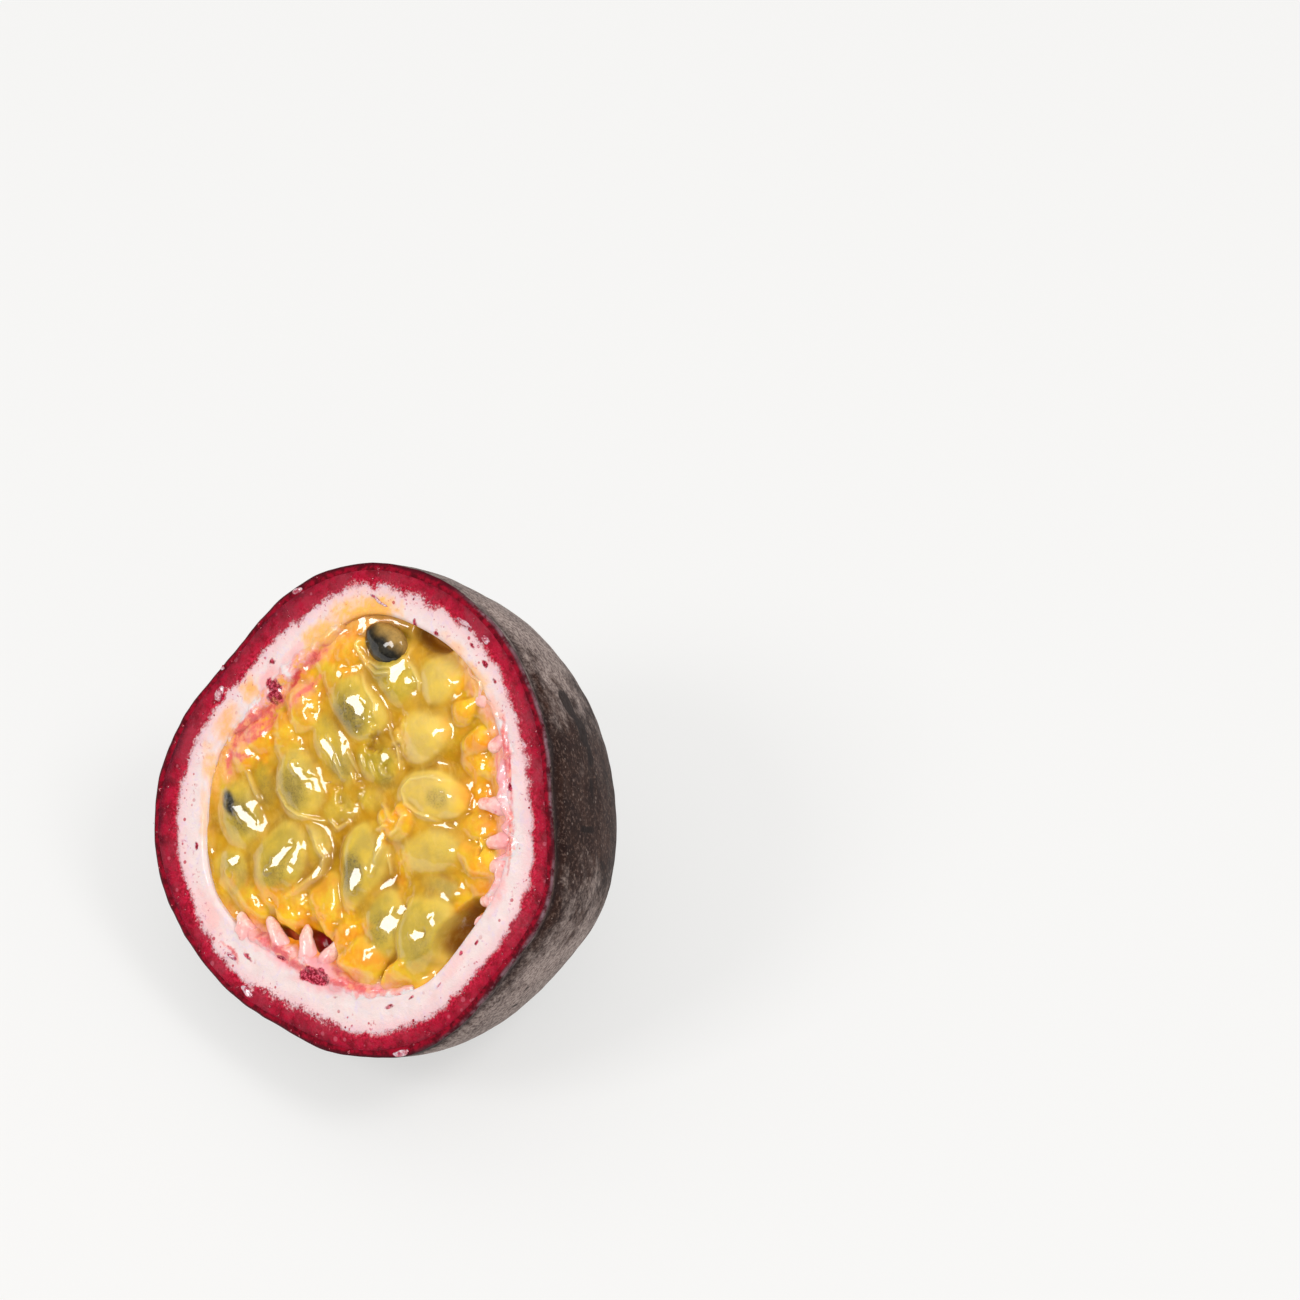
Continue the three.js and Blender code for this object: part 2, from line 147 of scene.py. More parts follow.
# Distance to a line through points, and how far along it the nearest place is (0 to 1).
def toLine(x, y, line):
    nearest, place = np.full(x.shape, np.inf), np.zeros(x.shape)
    for i in range(len(line) - 1):
        start, run = np.array(line[i]), np.array(line[i + 1]) - np.array(line[i])
        t = np.clip(((x - start[0]) * run[0] + (y - start[1]) * run[1]) / (run @ run), 0, 1)
        gap = np.hypot(x - start[0] - t * run[0], y - start[1] - t * run[1])
        place = np.where(gap < nearest, (i + t) / (len(line) - 1), place)
        nearest = np.minimum(gap, nearest)
    return nearest, place


# Points of a domed wall: reach = (mean + bumps cos(fall) - inset) cos(fall)^fullness, z = -depth sin(fall).
def wallPoints(radii, depth, inset, angle, fall):
    mean = np.mean(radii)
    bumps = (radiusAt(radii, angle) - mean) * np.cos(fall)
    reach = (mean + bumps - inset) * np.maximum(np.cos(fall), 0) ** rind["fullness"]
    level = -(depth - inset) * np.sin(fall)
    return np.stack([reach * np.cos(angle), reach * np.sin(angle), level + 0 * reach], -1)


# A closed surface from rings of points, its first and last ring drawn together to a pole.
def closedGrid(rings):
    steps, sides = rings.shape[:2]
    body = rings[1:-1].reshape(-1, 3)
    points = np.concatenate([rings[0].mean(0)[None], body, rings[-1].mean(0)[None]])
    side = np.arange(sides)
    ahead = (side + 1) % sides
    starts = 1 + np.arange(steps - 3)[:, None] * sides
    quads = np.stack([starts + side, starts + ahead, starts + ahead + sides, starts + side + sides], -1)
    lastRing, lastPole = 1 + (steps - 3) * sides, len(points) - 1
    firstFan = np.stack([0 * side, 1 + ahead, 1 + side], -1)
    lastFan = np.stack([0 * side + lastPole, lastRing + side, lastRing + ahead], -1)
    return points, [quads.reshape(-1, 4), firstFan, lastFan]


# Six times a closed mesh's volume, from the triangles that fan out from each face's corner.
def signedVolume(points, faceSets):
    total = 0.0
    for faces in faceSets:
        for k in range(1, faces.shape[1] - 1):
            a, b, c = points[faces[:, 0]], points[faces[:, k]], points[faces[:, k + 1]]
            total += np.einsum("ij,ij->i", a, np.cross(b, c)).sum()
    return total


# One mesh object in the part's frame from several closed grids, with named point values.
def makePiece(name, grids, values=None):
    points, loops, sizes, base = [], [], [], 0
    for gridPoints, faceSets in grids:
        facesOut = signedVolume(gridPoints, faceSets) > 0
        for faces in faceSets:
            turned = faces if facesOut else faces[:, ::-1]
            loops.append((turned + base).ravel())
            sizes.append(np.full(len(faces), faces.shape[1]))
        points.append(gridPoints)
        base += len(gridPoints)
    points, loops, sizes = np.concatenate(points), np.concatenate(loops), np.concatenate(sizes)
    mesh = bpy.data.meshes.new(name)
    mesh.vertices.add(len(points))
    mesh.vertices.foreach_set("co", toPart(points).astype(np.float32).ravel())
    mesh.loops.add(len(loops))
    mesh.loops.foreach_set("vertex_index", loops.astype(np.int32))
    mesh.polygons.add(len(sizes))
    mesh.polygons.foreach_set("loop_start", (np.cumsum(sizes) - sizes).astype(np.int32))
    mesh.polygons.foreach_set("use_smooth", np.full(len(sizes), True))
    for key, value in (values or {}).items():
        layer = mesh.attributes.new(key, "FLOAT", "POINT")
        layer.data.foreach_set("value", np.asarray(value, np.float32).ravel())
    mesh.update(calc_edges=True)
    mesh.validate()
    piece = bpy.data.objects.new(name, mesh)
    bpy.context.scene.collection.objects.link(piece)
    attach(piece, "root")
    return piece


# Point values of a closed grid, in the order of its points.
def gridValues(values):
    return np.concatenate([[values[0].mean()], values[1:-1].ravel(), [values[-1].mean()]])


def dressAs(piece, material, slotName, *nodes):
    piece.data.materials.append(material)
    if nodes:
        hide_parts(*nodes)


# A screen colour, 0 to 255, as the linear colour that shaders work in.
def tint(red, green, blue):
    return tuple((c / 255.0 / 12.92 if c <= 10 else ((c / 255.0 + 0.055) / 1.055) ** 2.4)
                 for c in (red, green, blue)) + (1.0,)


# Adds and wires the nodes of one material or node group.
class Shade:
    def __init__(self, tree):
        self.tree = tree

    def add(self, kind, **settings):
        node = self.tree.nodes.new(kind)
        for key, value in settings.items():
            setattr(node, key, value)
        return node

    def wire(self, source, target):
        self.tree.links.new(source, target)

    # Fills a socket with a plain value or wires another socket to it.
    def fill(self, socket, value):
        if isinstance(value, (int, float, tuple)):
            socket.default_value = value
        else:
            self.wire(value, socket)

    def attribute(self, name):
        return self.add("ShaderNodeAttribute", attribute_name=name).outputs["Fac"]

    def place(self):
        return self.add("ShaderNodeTexCoord").outputs["Object"]

    # Noise on the object's own coordinates; size is the cell in millimetres.
    def noise(self, size, detail=3.0, roughness=0.55, stretch=None):
        node = self.add("ShaderNodeTexNoise")
        node.inputs["Scale"].default_value = 1000.0 / size
        node.inputs["Detail"].default_value = detail
        node.inputs["Roughness"].default_value = roughness
        self.wire(self.stretched(stretch) if stretch else self.place(), node.inputs["Vector"])
        return node.outputs["Fac"]

    # Object coordinates turned into the cut's frame and stretched along its axes.
    def stretched(self, factors):
        mapping = self.add("ShaderNodeMapping", vector_type="POINT")
        mapping.inputs["Rotation"].default_value = Matrix(cutAxes.tolist()).to_euler()
        mapping.inputs["Scale"].default_value = factors
        self.wire(self.place(), mapping.inputs["Vector"])
        return mapping.outputs["Vector"]

    def math(self, operation, *values):
        node = self.add("ShaderNodeMath", operation=operation)
        for socket, value in zip(node.inputs, values):
            self.fill(socket, value)
        return node.outputs[0]

    def plus(self, a, b):
        return self.math("ADD", a, b)

    def minus(self, a, b):
        return self.math("SUBTRACT", a, b)

    def times(self, a, b):
        return self.math("MULTIPLY", a, b)

    # value * factor + offset
    def scaled(self, value, factor, offset):
        return self.math("MULTIPLY_ADD", value, factor, offset)

    # 0 where value is under low, 1 over high, smooth between them.
    def ramp(self, value, low, high):
        node = self.add("ShaderNodeMapRange", interpolation_type="SMOOTHSTEP")
        node.inputs["From Min"].default_value = low
        node.inputs["From Max"].default_value = high
        self.wire(value, node.inputs["Value"])
        return node.outputs["Result"]

    # Soft patches: noise of the given kind, sharpened between low and high.
    def patches(self, low, high, *noise):
        return self.ramp(self.noise(*noise), low, high)

    def mix(self, factor, a, b):
        node = self.add("ShaderNodeMix", data_type="RGBA")
        factorSocket, aSocket, bSocket = node.inputs[0], node.inputs[6], node.inputs[7]
        self.fill(factorSocket, factor)
        self.fill(aSocket, a)
        self.fill(bSocket, b)
        return node.outputs[2]

    # Lays a paint over a colour, as strongly as mask times strength.
    def over(self, colour, paint, mask, strength):
        return self.mix(self.times(mask, strength), colour, paint)

    def bump(self, height, strength, distance):
        node = self.add("ShaderNodeBump")
        node.inputs["Strength"].default_value = strength
        node.inputs["Distance"].default_value = distance / 1000.0
        self.wire(height, node.inputs["Height"])
        return node.outputs["Normal"]

    # Places a node group with its inputs filled and gives its outputs.
    def useGroup(self, group, **values):
        node = self.add("ShaderNodeGroup", node_tree=group)
        for key, value in values.items():
            self.fill(node.inputs[key], value)
        return node.outputs


# A material with one Principled shader, its plain sockets set from a dictionary.
def newMaterial(name, sockets):
    material = bpy.data.materials.new(name)
    material.use_nodes = True
    shade = Shade(material.node_tree)
    surface = material.node_tree.nodes["Principled BSDF"]
    for key, value in sockets.items():
        surface.inputs[key].default_value = value
    return material, shade, surface


def newGroup(name, inputs, outputs):
    group = bpy.data.node_groups.new(name, "ShaderNodeTree")
    for label, kind, value in inputs:
        socket = group.interface.new_socket(label, in_out="INPUT", socket_type=kind)
        socket.default_value = value
    for label, kind in outputs:
        group.interface.new_socket(label, in_out="OUTPUT", socket_type=kind)
    shade = Shade(group)
    return group, shade, shade.add("NodeGroupInput").outputs, shade.add("NodeGroupOutput").inputs


cameraView = {
    "elevation": 50.0,
    "framePixels": 1300.0,
    "pixelsPerMm": 9.0,
    "distance": 650.0,               # mm from the middle of the cut
    "cutCentreAt": (360.3, 813.1),   # pixel of the frame where the middle of the cut stands
    "sensor": 36.0,
    "clip": (0.02, 20.0),            # m
}


def makeCamera():
    tilt = math.radians(cameraView["elevation"])
    right = np.array([1.0, 0.0, 0.0])
    up = np.array([0.0, math.sin(tilt), math.cos(tilt)])
    back = np.array([0.0, -math.cos(tilt), math.sin(tilt)])
    half = cameraView["framePixels"] / 2
    aside = (half - cameraView["cutCentreAt"][0]) / cameraView["pixelsPerMm"]
    above = (cameraView["cutCentreAt"][1] - half) / cameraView["pixelsPerMm"]
    eye = cutCentre + right * aside + up * above + back * cameraView["distance"]
    camera = bpy.data.objects.new("camera", bpy.data.cameras.new("camera"))
    bpy.context.scene.collection.objects.link(camera)
    camera.matrix_world = Matrix.LocRotScale(
        Vector(eye / 1000.0), Matrix(np.stack([right, up, back]).T.tolist()).to_quaternion(), None)
    camera.data.sensor_width = cameraView["sensor"]
    camera.data.lens = (cameraView["sensor"] * cameraView["pixelsPerMm"] * cameraView["distance"]
                        / cameraView["framePixels"])
    camera.data.clip_start, camera.data.clip_end = cameraView["clip"]
    bpy.context.scene.camera = camera


studio = {
    "worldTop": (1.0, 0.995, 0.985, 1.0),
    "worldSide": (0.24, 0.24, 0.245, 1.0),
    "worldRise": (0.2, 0.85),        # heights between which the side turns into the top
    "worldStrength": 1.0,
    "glossShare": 0.3,               # share of the world's light that wet surfaces mirror
    "floorReach": 3.0,               # m
    "floor": {"Base Color": tint(141, 140, 139), "Roughness": 0.7, "Specular IOR Level": 0.2,
              "Emission Color": (1.0, 1.0, 0.99, 1.0), "Emission Strength": 0.595},
    "lampCentre": (0.0, 0.0, 0.02),  # m, the place that the softboxes stand round and face
    "softboxes": (
        # direction, distance m, side m, watts
        ((-0.58, -0.34, 0.72), 0.9, 0.27, 3.0),
        ((0.50, -0.14, 0.84), 0.9, 0.27, 2.5),
    ),
}


def makeWorld():
    world = bpy.data.worlds.new("studioWorld")
    world.use_nodes = True
    background = world.node_tree.nodes["Background"]
    shade = Shade(world.node_tree)
    mirrored = shade.add("ShaderNodeLightPath").outputs["Is Glossy Ray"]
    strength = studio["worldStrength"]
    shade.wire(shade.scaled(mirrored, strength * (studio["glossShare"] - 1.0), strength),
               background.inputs["Strength"])
    height = shade.add("ShaderNodeSeparateXYZ")
    shade.wire(shade.add("ShaderNodeTexCoord").outputs["Generated"], height.inputs[0])
    rising = shade.ramp(height.outputs["Z"], *studio["worldRise"])
    shade.wire(shade.mix(rising, studio["worldSide"], studio["worldTop"]), background.inputs["Color"])
    bpy.context.scene.world = world
    bpy.context.scene.view_settings.view_transform = "Standard"


def makeSoftboxes():
    for i, (direction, distance, side, watts) in enumerate(studio["softboxes"]):
        light = bpy.data.lights.new(f"softbox{i}", "AREA")
        light.shape, light.size, light.energy = "SQUARE", side, watts
        lamp = bpy.data.objects.new(f"softbox{i}", light)
        bpy.context.scene.collection.objects.link(lamp)
        toLamp = Vector(direction).normalized()
        lamp.location = toLamp * distance + Vector(studio["lampCentre"])
        lamp.rotation_euler = toLamp.to_track_quat("Z", "Y").to_euler()


def makeFloor():
    reach = studio["floorReach"]
    corners = [(-reach, -reach, 0), (reach, -reach, 0), (reach, reach, 0), (-reach, reach, 0)]
    mesh = bpy.data.meshes.new("floor")
    mesh.from_pydata(corners, [], [(0, 1, 2, 3)])
    floor = bpy.data.objects.new("floor", mesh)
    bpy.context.scene.collection.objects.link(floor)
    paint, _, _ = newMaterial("floorPaint", studio["floor"])
    mesh.materials.append(paint)


makeCamera()
makeWorld()
makeSoftboxes()
makeFloor()
print("camera, light and floor are set")


# Where the red flesh ends: distance from the pith's edge, made ragged by two noises, and
# the red flecks that are strewn over the white side of it.
def makeRaggedEdge():
    group, shade, given, result = newGroup(
        "raggedEdge",
        [("Distance", "NodeSocketFloat", 0.0), ("Raggedness", "NodeSocketFloat", 0.5)],
        [("Red", "NodeSocketFloat"), ("Fleck", "NodeSocketFloat")])
    coarse = shade.minus(shade.noise(1.9, 3.0, 0.55), 0.5)
    fine = shade.minus(shade.noise(0.26, 3.0, 0.65), 0.5)
    jitter = shade.plus(shade.times(coarse, 4.4), shade.times(fine, 2.8))
    shifted = shade.scaled(jitter, given["Raggedness"], given["Distance"])
    shade.wire(shade.ramp(shifted, -0.34, 0.42), result["Red"])
    fleck = shade.times(shade.patches(0.59, 0.7, 0.4, 2.0, 0.5), shade.patches(0.47, 0.6, 2.4, 2.0, 0.5))
    nearEdge = shade.ramp(given["Distance"], -3.2, -0.2)
    shade.wire(shade.times(fleck, nearEdge), result["Fleck"])
    return group


# Small round specks: cells whose centre distance is under a size that differs by cell.
def makeSpecks():
    group, shade, given, result = newGroup(
        "specks",
        [("Scale", "NodeSocketFloat", 1000.0), ("Size", "NodeSocketFloat", 0.25)],
        [("Mask", "NodeSocketFloat")])
    cell = shade.add("ShaderNodeTexVoronoi")
    shade.wire(shade.place(), cell.inputs["Vector"])
    shade.wire(given["Scale"], cell.inputs["Scale"])
    chance = shade.add("ShaderNodeSeparateColor")
    shade.wire(cell.outputs["Color"], chance.inputs[0])
    reach = shade.times(chance.outputs[0], given["Size"])
    shade.wire(shade.ramp(shade.minus(reach, cell.outputs["Distance"]), 0.0, 0.06), result["Mask"])
    return group


raggedEdge, specks = makeRaggedEdge(), makeSpecks()


# rises and dips of the cut out of its plane
faceShape = {"swell": (0.22, 9.0, 4), "grain": (0.05, 1.1, 5)}


def faceLift(points):
    flat = points * np.array([1.0, 1.0, 0.0])
    return waver(flat, faceShape["swell"], faceShape["grain"])


peel = {
    "sides": 400,
    "domeRings": 150,
    "innerRings": 24,
    "ringCrowding": 1.4,             # over 1 the dome's rings crowd towards the cut
    "lastRing": 0.04,                # share of the way to the tip where they end, below the cut
    "innerStart": 0.004,
    "inset": rind["peelThickness"],
    "edgeRound": 0.3,                # mm that the cut edge is rounded by
    "lumps": (0.22, 7.0, 11),
    "dimples": (0.05, 1.3, 12),
    "tipDent": (0.7, 0.1),           # depth mm; width, radians of fall
    "rimAcross": (0.0, 0.06, 0.14, 0.24, 0.36, 0.5, 0.68, 0.86, 0.98, 1.0),
    "curlFrom": (-78.0, 66.0),       # angles between which the peel curls away from the cut
    "curlFade": 18.0,
    "groove": (0.45, 2.6, 1.2),      # depth mm; place and width, degrees of fall
    "grooveDepths": (0.75, (0.5, 2.2, 13)),
    # painted shade: the dark band in the groove beside the rim
    "grooveShadowBand": (2.4, 1.0),       # place and width, degrees of fall
    "lip": (0.2, 0.14, 0.3),         # height mm; place and width, shares of the thickness
    "lipHeights": (0.7, (0.6, 1.8, 16)),
    # painted highlight: the pale band where the curled lip catches the light
    "lipHighlightBand": (0.08, 0.2, 0.9),    # place and width on the cut; width on the skin, degrees
    "lowRimPaintedShade": 3.5,              # width, degrees of fall, of the dark band at the lowest rim
    # the dark band at the lowest rim is painted shade
    "patchEdges": ((0.4, 2.4, 14), (0.3, 0.8, 15)),
    "surface": {"Specular IOR Level": 0.08},
    "brown": (tint(41, 23, 18), tint(67, 44, 36)),
    "darkPatch": tint(42, 25, 24),
    "bloomAndSheen": (tint(128, 110, 105), tint(188, 170, 162)),
    "grain": (tint(122, 98, 88), tint(176, 160, 150)),
    "pore": tint(30, 20, 19),
    "speck": tint(172, 152, 142),
    "pit": tint(30, 20, 20),
    "bruiseAndShade": tint(30, 16, 14),
    "grooveShadow": tint(34, 24, 26),
    "cutCrimson": (tint(84, 0, 16), tint(146, 4, 34)),
    "cutDark": (tint(46, 8, 18), tint(96, 8, 28)),
    "lipHighlight": tint(146, 120, 128),
}

# pale bloom, partly the skin's own and partly painted sheen and floor-bounce light, and dark bruises of the
# peel: angle, fall, half sizes (all degrees), strength
bloomAndSheenPatches = (
    (61, 15, 34, 24, 1.0), (49, 16, 14, 16, 0.85), (302, 20, 34, 20, 1.0), (320, 24, 17, 13, 0.8),
    (196, 40, 40, 20, 0.3), (130, 55, 30, 18, 0.35), (30, 60, 30, 14, 0.3),
)
bruises = (
    (28, 14, 5, 2.6, 1.0), (21, 17, 5, 3.0, 1.0), (14, 19, 4, 1.8, 0.8), (6, 18, 5, 1.2, 0.7),
    (355, 14, 0.7, 3.6, 1.0), (12, 30, 10, 4, 0.5), (345, 24, 9, 5, 0.45), (332, 12, 6, 2.2, 0.35),
    (311, 14, 1.2, 1.2, 0.9), (305, 15, 0.8, 1.4, 0.7), (150, 48, 9, 3, 0.6), (228, 52, 5, 8, 0.5),
    (80, 44, 4, 7, 0.6), (118, 66, 8, 4, 0.5), (20, 52, 3, 7, 0.5), (268, 58, 3, 6, 0.5),
)


# 1 where the peel curls away from the cut, 0 elsewhere round the rim.
def curlAt(angle):
    turn = (np.degrees(angle) + 180) % 360 - 180
    low, high = peel["curlFrom"]
    fade = peel["curlFade"]
    return smoothStep(low, low + fade, turn) * smoothStep(high, high - fade, turn)


# The peel's outer wall: wall + out * (lumps + dimples - tip dent - groove).
def peelSurface(angle, fall):
    points = wallPoints(rind["skinRadii"], rind["depth"], 0.0, angle, fall)
    out = points / np.maximum(np.linalg.norm(points, axis=-1, keepdims=True), 1e-6)
    rough = waver(points, peel["lumps"], peel["dimples"])
    dentDepth, dentWidth = peel["tipDent"]
    tipDent = dentDepth * bell(0.5 * np.pi - fall, dentWidth)
    depth, place, width = peel["groove"]
    share, breaks = peel["grooveDepths"]
    groove = depth * bell(np.degrees(fall) - place, width) * curlAt(angle) * (share + waver(points, breaks))
    return points + out * (rough - tipDent - groove)[..., None]


# Strength of soft oval patches on the peel.
def patchesAt(patches, angle, fall, points):
    wander = waver(points, *peel["patchEdges"])
    strength = np.zeros(points.shape[:-1])
    for placeAngle, placeFall, halfAngle, halfFall, depth in patches:
        turn = (np.degrees(angle) - placeAngle + 180) % 360 - 180
        rho = np.hypot(turn / halfAngle, (np.degrees(fall) - placeFall) / halfFall)
        strength = np.maximum(strength, depth * smoothStep(1.4, 0.5, rho + wander))
    return strength


# Rings from the tip up the outside, over the rim with its rounded edge and curled lip, and
# down the inside to the tip.
def makePeel():
    angle = np.linspace(0, 2 * np.pi, peel["sides"], endpoint=False)[None]
    level = np.zeros((1, 1))
    shares = np.linspace(1.0, peel["lastRing"], peel["domeRings"])[:, None]
    outerFall = 0.5 * np.pi * shares ** peel["ringCrowding"]
    outer = restOn(peelSurface(angle, outerFall), 0.0)
    rimOut = peelSurface(angle, level)
    rimIn = wallPoints(rind["skinRadii"], rind["depth"], peel["inset"], angle, level)
    across = np.array(peel["rimAcross"])[:, None]
    rim = rimOut * (1 - across[..., None]) + rimIn * across[..., None]
    share, breaks = peel["lipHeights"]
    curl = curlAt(angle) * (share + waver(rimOut, breaks))
    height, place, width = peel["lip"]
    rim[..., 2] = (faceLift(rim) - peel["edgeRound"] * (1 - across) ** 3
                   + height * curl * bell(across - place, width))
    innerFall = np.linspace(peel["innerStart"], 1.0, peel["innerRings"])[:, None] * 0.5 * np.pi
    inner = wallPoints(rind["skinRadii"], rind["depth"], peel["inset"], angle, innerFall)
    inner = restOn(inner, peel["inset"])
    rings = np.concatenate([outer, rim, inner])
    fall = np.concatenate([outerFall, 0 * across, 0 * innerFall])
    cut = np.concatenate([0 * outerFall - 0.1, across, 0 * innerFall + 1])
    skin = np.concatenate([0 * outerFall + 1, 0 * across, 0 * innerFall])
    degrees = np.degrees(fall)
    groovePlace, grooveWidth = peel["grooveShadowBand"]
    lipPlace, lipWidth, lipOnSkin = peel["lipHighlightBand"]
    # painted shade: a dark band along the lowest part of the rim, laid in with the bruises
    lowRimShadow = smoothStep(0.5, 1.0, -np.sin(angle)) * bell(degrees, peel["lowRimPaintedShade"])
    # painted highlight along the curled lip, on the cut and on the skin
    fold = bell(cut - lipPlace, lipWidth) * (1 - skin) + bell(degrees, lipOnSkin) * skin
    values = {"cut": cut + 0 * angle, "lip": fold * curl,
              # pale bloom patches: partly the skin's own bloom, partly painted sheen and floor-bounce light
              "bloomAndSheen": patchesAt(bloomAndSheenPatches, angle, fall, rings) * skin,
              "bruiseAndShade": np.maximum(patchesAt(bruises, angle, fall, rings), lowRimShadow) * skin,
              # groove: painted shade in the crease beside the rim
              "groove": bell(degrees - groovePlace, grooveWidth) * skin * curlAt(angle)}
    return makePiece("peel", [closedGrid(rings)], {key: gridValues(value) for key, value in values.items()})


# Mottled brown skin with specks, pits, bruises, bloom partly painted as sheen, painted rim shade and lip
# highlight; crimson where it is cut.
def peelFinish():
    material, shade, surface = newMaterial("peelFinish", peel["surface"])
    broad, medium, fine = shade.noise(8.0, 4.0, 0.6), shade.noise(1.5, 4.0, 0.65), shade.noise(0.42, 3.0, 0.7)
    bloomAndSheen, cut = shade.attribute("bloomAndSheen"), shade.attribute("cut")
    colour = shade.mix(shade.ramp(broad, 0.35, 0.66), *peel["brown"])
    colour = shade.over(colour, peel["darkPatch"], shade.ramp(medium, 0.45, 0.66), 0.7)
    pale = shade.mix(shade.ramp(fine, 0.36, 0.64), *peel["bloomAndSheen"])
    # pale bloom laid over the brown, partly painted sheen and floor-bounce light
    colour = shade.over(colour, pale, bloomAndSheen, shade.scaled(shade.ramp(broad, 0.38, 0.6), 0.25, 0.67))
    colour = shade.over(colour, shade.mix(bloomAndSheen, *peel["grain"]), shade.ramp(fine, 0.52, 0.64), 0.5)
    colour = shade.over(colour, peel["pore"], shade.ramp(fine, 0.46, 0.34), shade.scaled(bloomAndSheen, -0.35, 0.6))
    colour = shade.over(colour, peel["speck"], shade.useGroup(specks, Scale=1300.0, Size=0.27)["Mask"], 0.36)
    pits = shade.useGroup(specks, Scale=210.0, Size=0.1)["Mask"]
    colour = shade.over(colour, peel["pit"], pits, 0.7)
    # dark bruises, and the painted shade band along the lowest rim
    bruiseAndShade = shade.ramp(shade.scaled(medium, 1.1, shade.attribute("bruiseAndShade")), 0.8, 1.3)
    colour = shade.over(colour, peel["bruiseAndShade"], bruiseAndShade, 0.92)
    # painted shade in the groove beside the rim
    colour = shade.over(colour, peel["grooveShadow"], shade.attribute("groove"), 0.65)
    crimson = shade.mix(shade.patches(0.38, 0.62, 0.9, 4.0, 0.65), *peel["cutCrimson"])
    dark = shade.mix(shade.noise(0.5), *peel["cutDark"])
    inward = shade.plus(cut, shade.times(shade.minus(medium, 0.5), 0.8))
    cutColour = shade.mix(shade.ramp(inward, 0.1, 0.6), dark, crimson)
    colour = shade.mix(shade.ramp(cut, -0.06, 0.04), colour, cutColour)
    # painted highlight on the curled lip
    lip = shade.times(shade.attribute("lip"), shade.patches(0.4, 0.62, 1.8, 6.0, 0.75))
    colour = shade.over(colour, peel["lipHighlight"], lip, 0.75)
    shade.wire(colour, surface.inputs["Base Color"])
    shade.wire(shade.scaled(medium, 0.2, 0.5), surface.inputs["Roughness"])
    height = shade.plus(shade.times(fine, 0.9), shade.times(medium, 0.6))
    height = shade.minus(height, shade.times(pits, 1.5))
    shade.wire(shade.bump(height, 0.55, 0.12), surface.inputs["Normal"])
    return material


dressAs(makePeel(), peelFinish(), "skin", "skin")
print("peel made")


marks = {
    "edges": ((0.3, 0.7, 81), (0.2, 0.35, 82)),
    "depths": (-4.0, -2.0),          # mm out of the cut between which the marks set in
    "pinkSoak": (tint(236, 128, 140), tint(250, 188, 190)),
    "orangeSoak": (tint(248, 158, 50), tint(254, 204, 116)),
    "thread": (tint(240, 112, 108), tint(200, 14, 46)),
    "threadPale": tint(250, 170, 130),
    "threadDark": tint(196, 20, 52),
    "stain": (tint(128, 2, 30), tint(220, 84, 108)),
}

# Crimson marks of the cut face: x, y, half length, half width, turn, depth of colour
stains = (
    (-12.0, 14.3, 1.5, 0.95, 95, 1.0), (-6.0, -18.0, 2.1, 1.0, 350, 1.0),
    (20.0, 2.2, 0.6, 0.4, 80, 1.0), (-12.1, 17.4, 0.5, 0.4, 0, 0.7), (7.2, 20.9, 0.35, 0.5, 0, 0.9),
    (10.1, 19.5, 0.5, 0.25, 330, 0.7), (15.0, 18.0, 0.5, 0.3, 320, 0.8),
    (16.8, 15.8, 0.6, 0.35, 310, 0.9), (18.0, 13.9, 0.5, 0.3, 300, 0.8),
    (13.7, -15.8, 0.3, 0.3, 0, 0.9), (15.8, -14.7, 0.4, 0.2, 50, 0.9), (-22.7, -3.0, 0.3, 0.5, 0, 0.8),
    (-3.2, -20.4, 0.4, 0.2, 0, 0.6), (4.2, -21.5, 0.8, 0.25, 15, 0.6), (10.8, -19.2, 0.7, 0.2, 40, 0.6),
    (7.0, -20.6, 0.5, 0.2, 30, 0.6), (-15.4, -15.7, 1.0, 0.3, 320, 0.7),
    (-10.6, -15.9, 0.8, 0.25, 340, 0.7),
)

# Orange and pink soaked into the pith: x, y, half length, half width, turn, pink (0) to orange (1), depth
soaks = (
    (-5.4, -17.0, 2.8, 1.5, 340, 0.0, 0.9), (-15.0, -13.0, 2.4, 1.2, 310, 0.1, 0.7),
    (-16.4, 8.6, 3.2, 1.5, 40, 0.45, 0.8), (-8.2, 13.6, 2.6, 1.3, 45, 0.6, 0.7),
    (-19.0, 5.8, 1.2, 2.4, 20, 0.7, 0.6), (0.5, 22.4, 4.6, 2.2, 0, 1.0, 0.95),
    (-5.4, 20.2, 3.6, 1.9, 30, 0.95, 0.85), (-15.4, 14.5, 1.5, 1.5, 60, 0.85, 0.9),
    (-18.6, 10.6, 2.4, 1.7, 60, 0.75, 0.8), (-12.8, 15.6, 2.4, 1.0, 45, 0.1, 0.6),
    (-9.0, 18.4, 3.0, 0.9, 40, 0.1, 0.5), (-20.6, 5.4, 1.2, 3.4, 10, 0.9, 0.7),
    (-21.8, 0.6, 0.6, 4.2, 0, 0.95, 0.4), (12.8, 17.6, 2.4, 1.0, 320, 0.85, 0.5),
    (15.4, 14.6, 3.0, 1.2, 315, 0.9, 0.6), (17.6, 10.8, 2.0, 1.2, 290, 0.4, 0.7),
    (19.2, 4.4, 4.5, 1.2, 95, 0.0, 0.8), (19.0, -3.0, 3.6, 1.2, 85, 0.05, 0.7),
    (18.4, -9.0, 2.6, 1.0, 72, 0.1, 0.6), (-12.0, -14.8, 4.6, 1.1, 325, 0.0, 0.75),
    (-4.4, -18.6, 5.0, 1.4, 345, 0.0, 0.8), (2.0, -19.6, 2.4, 0.7, 10, 0.0, 0.7),
    (-20.6, -10.6, 3.2, 1.3, 115, 0.15, 0.4), (12.6, -17.4, 4.5, 0.8, 50, 0.1, 0.25),
)

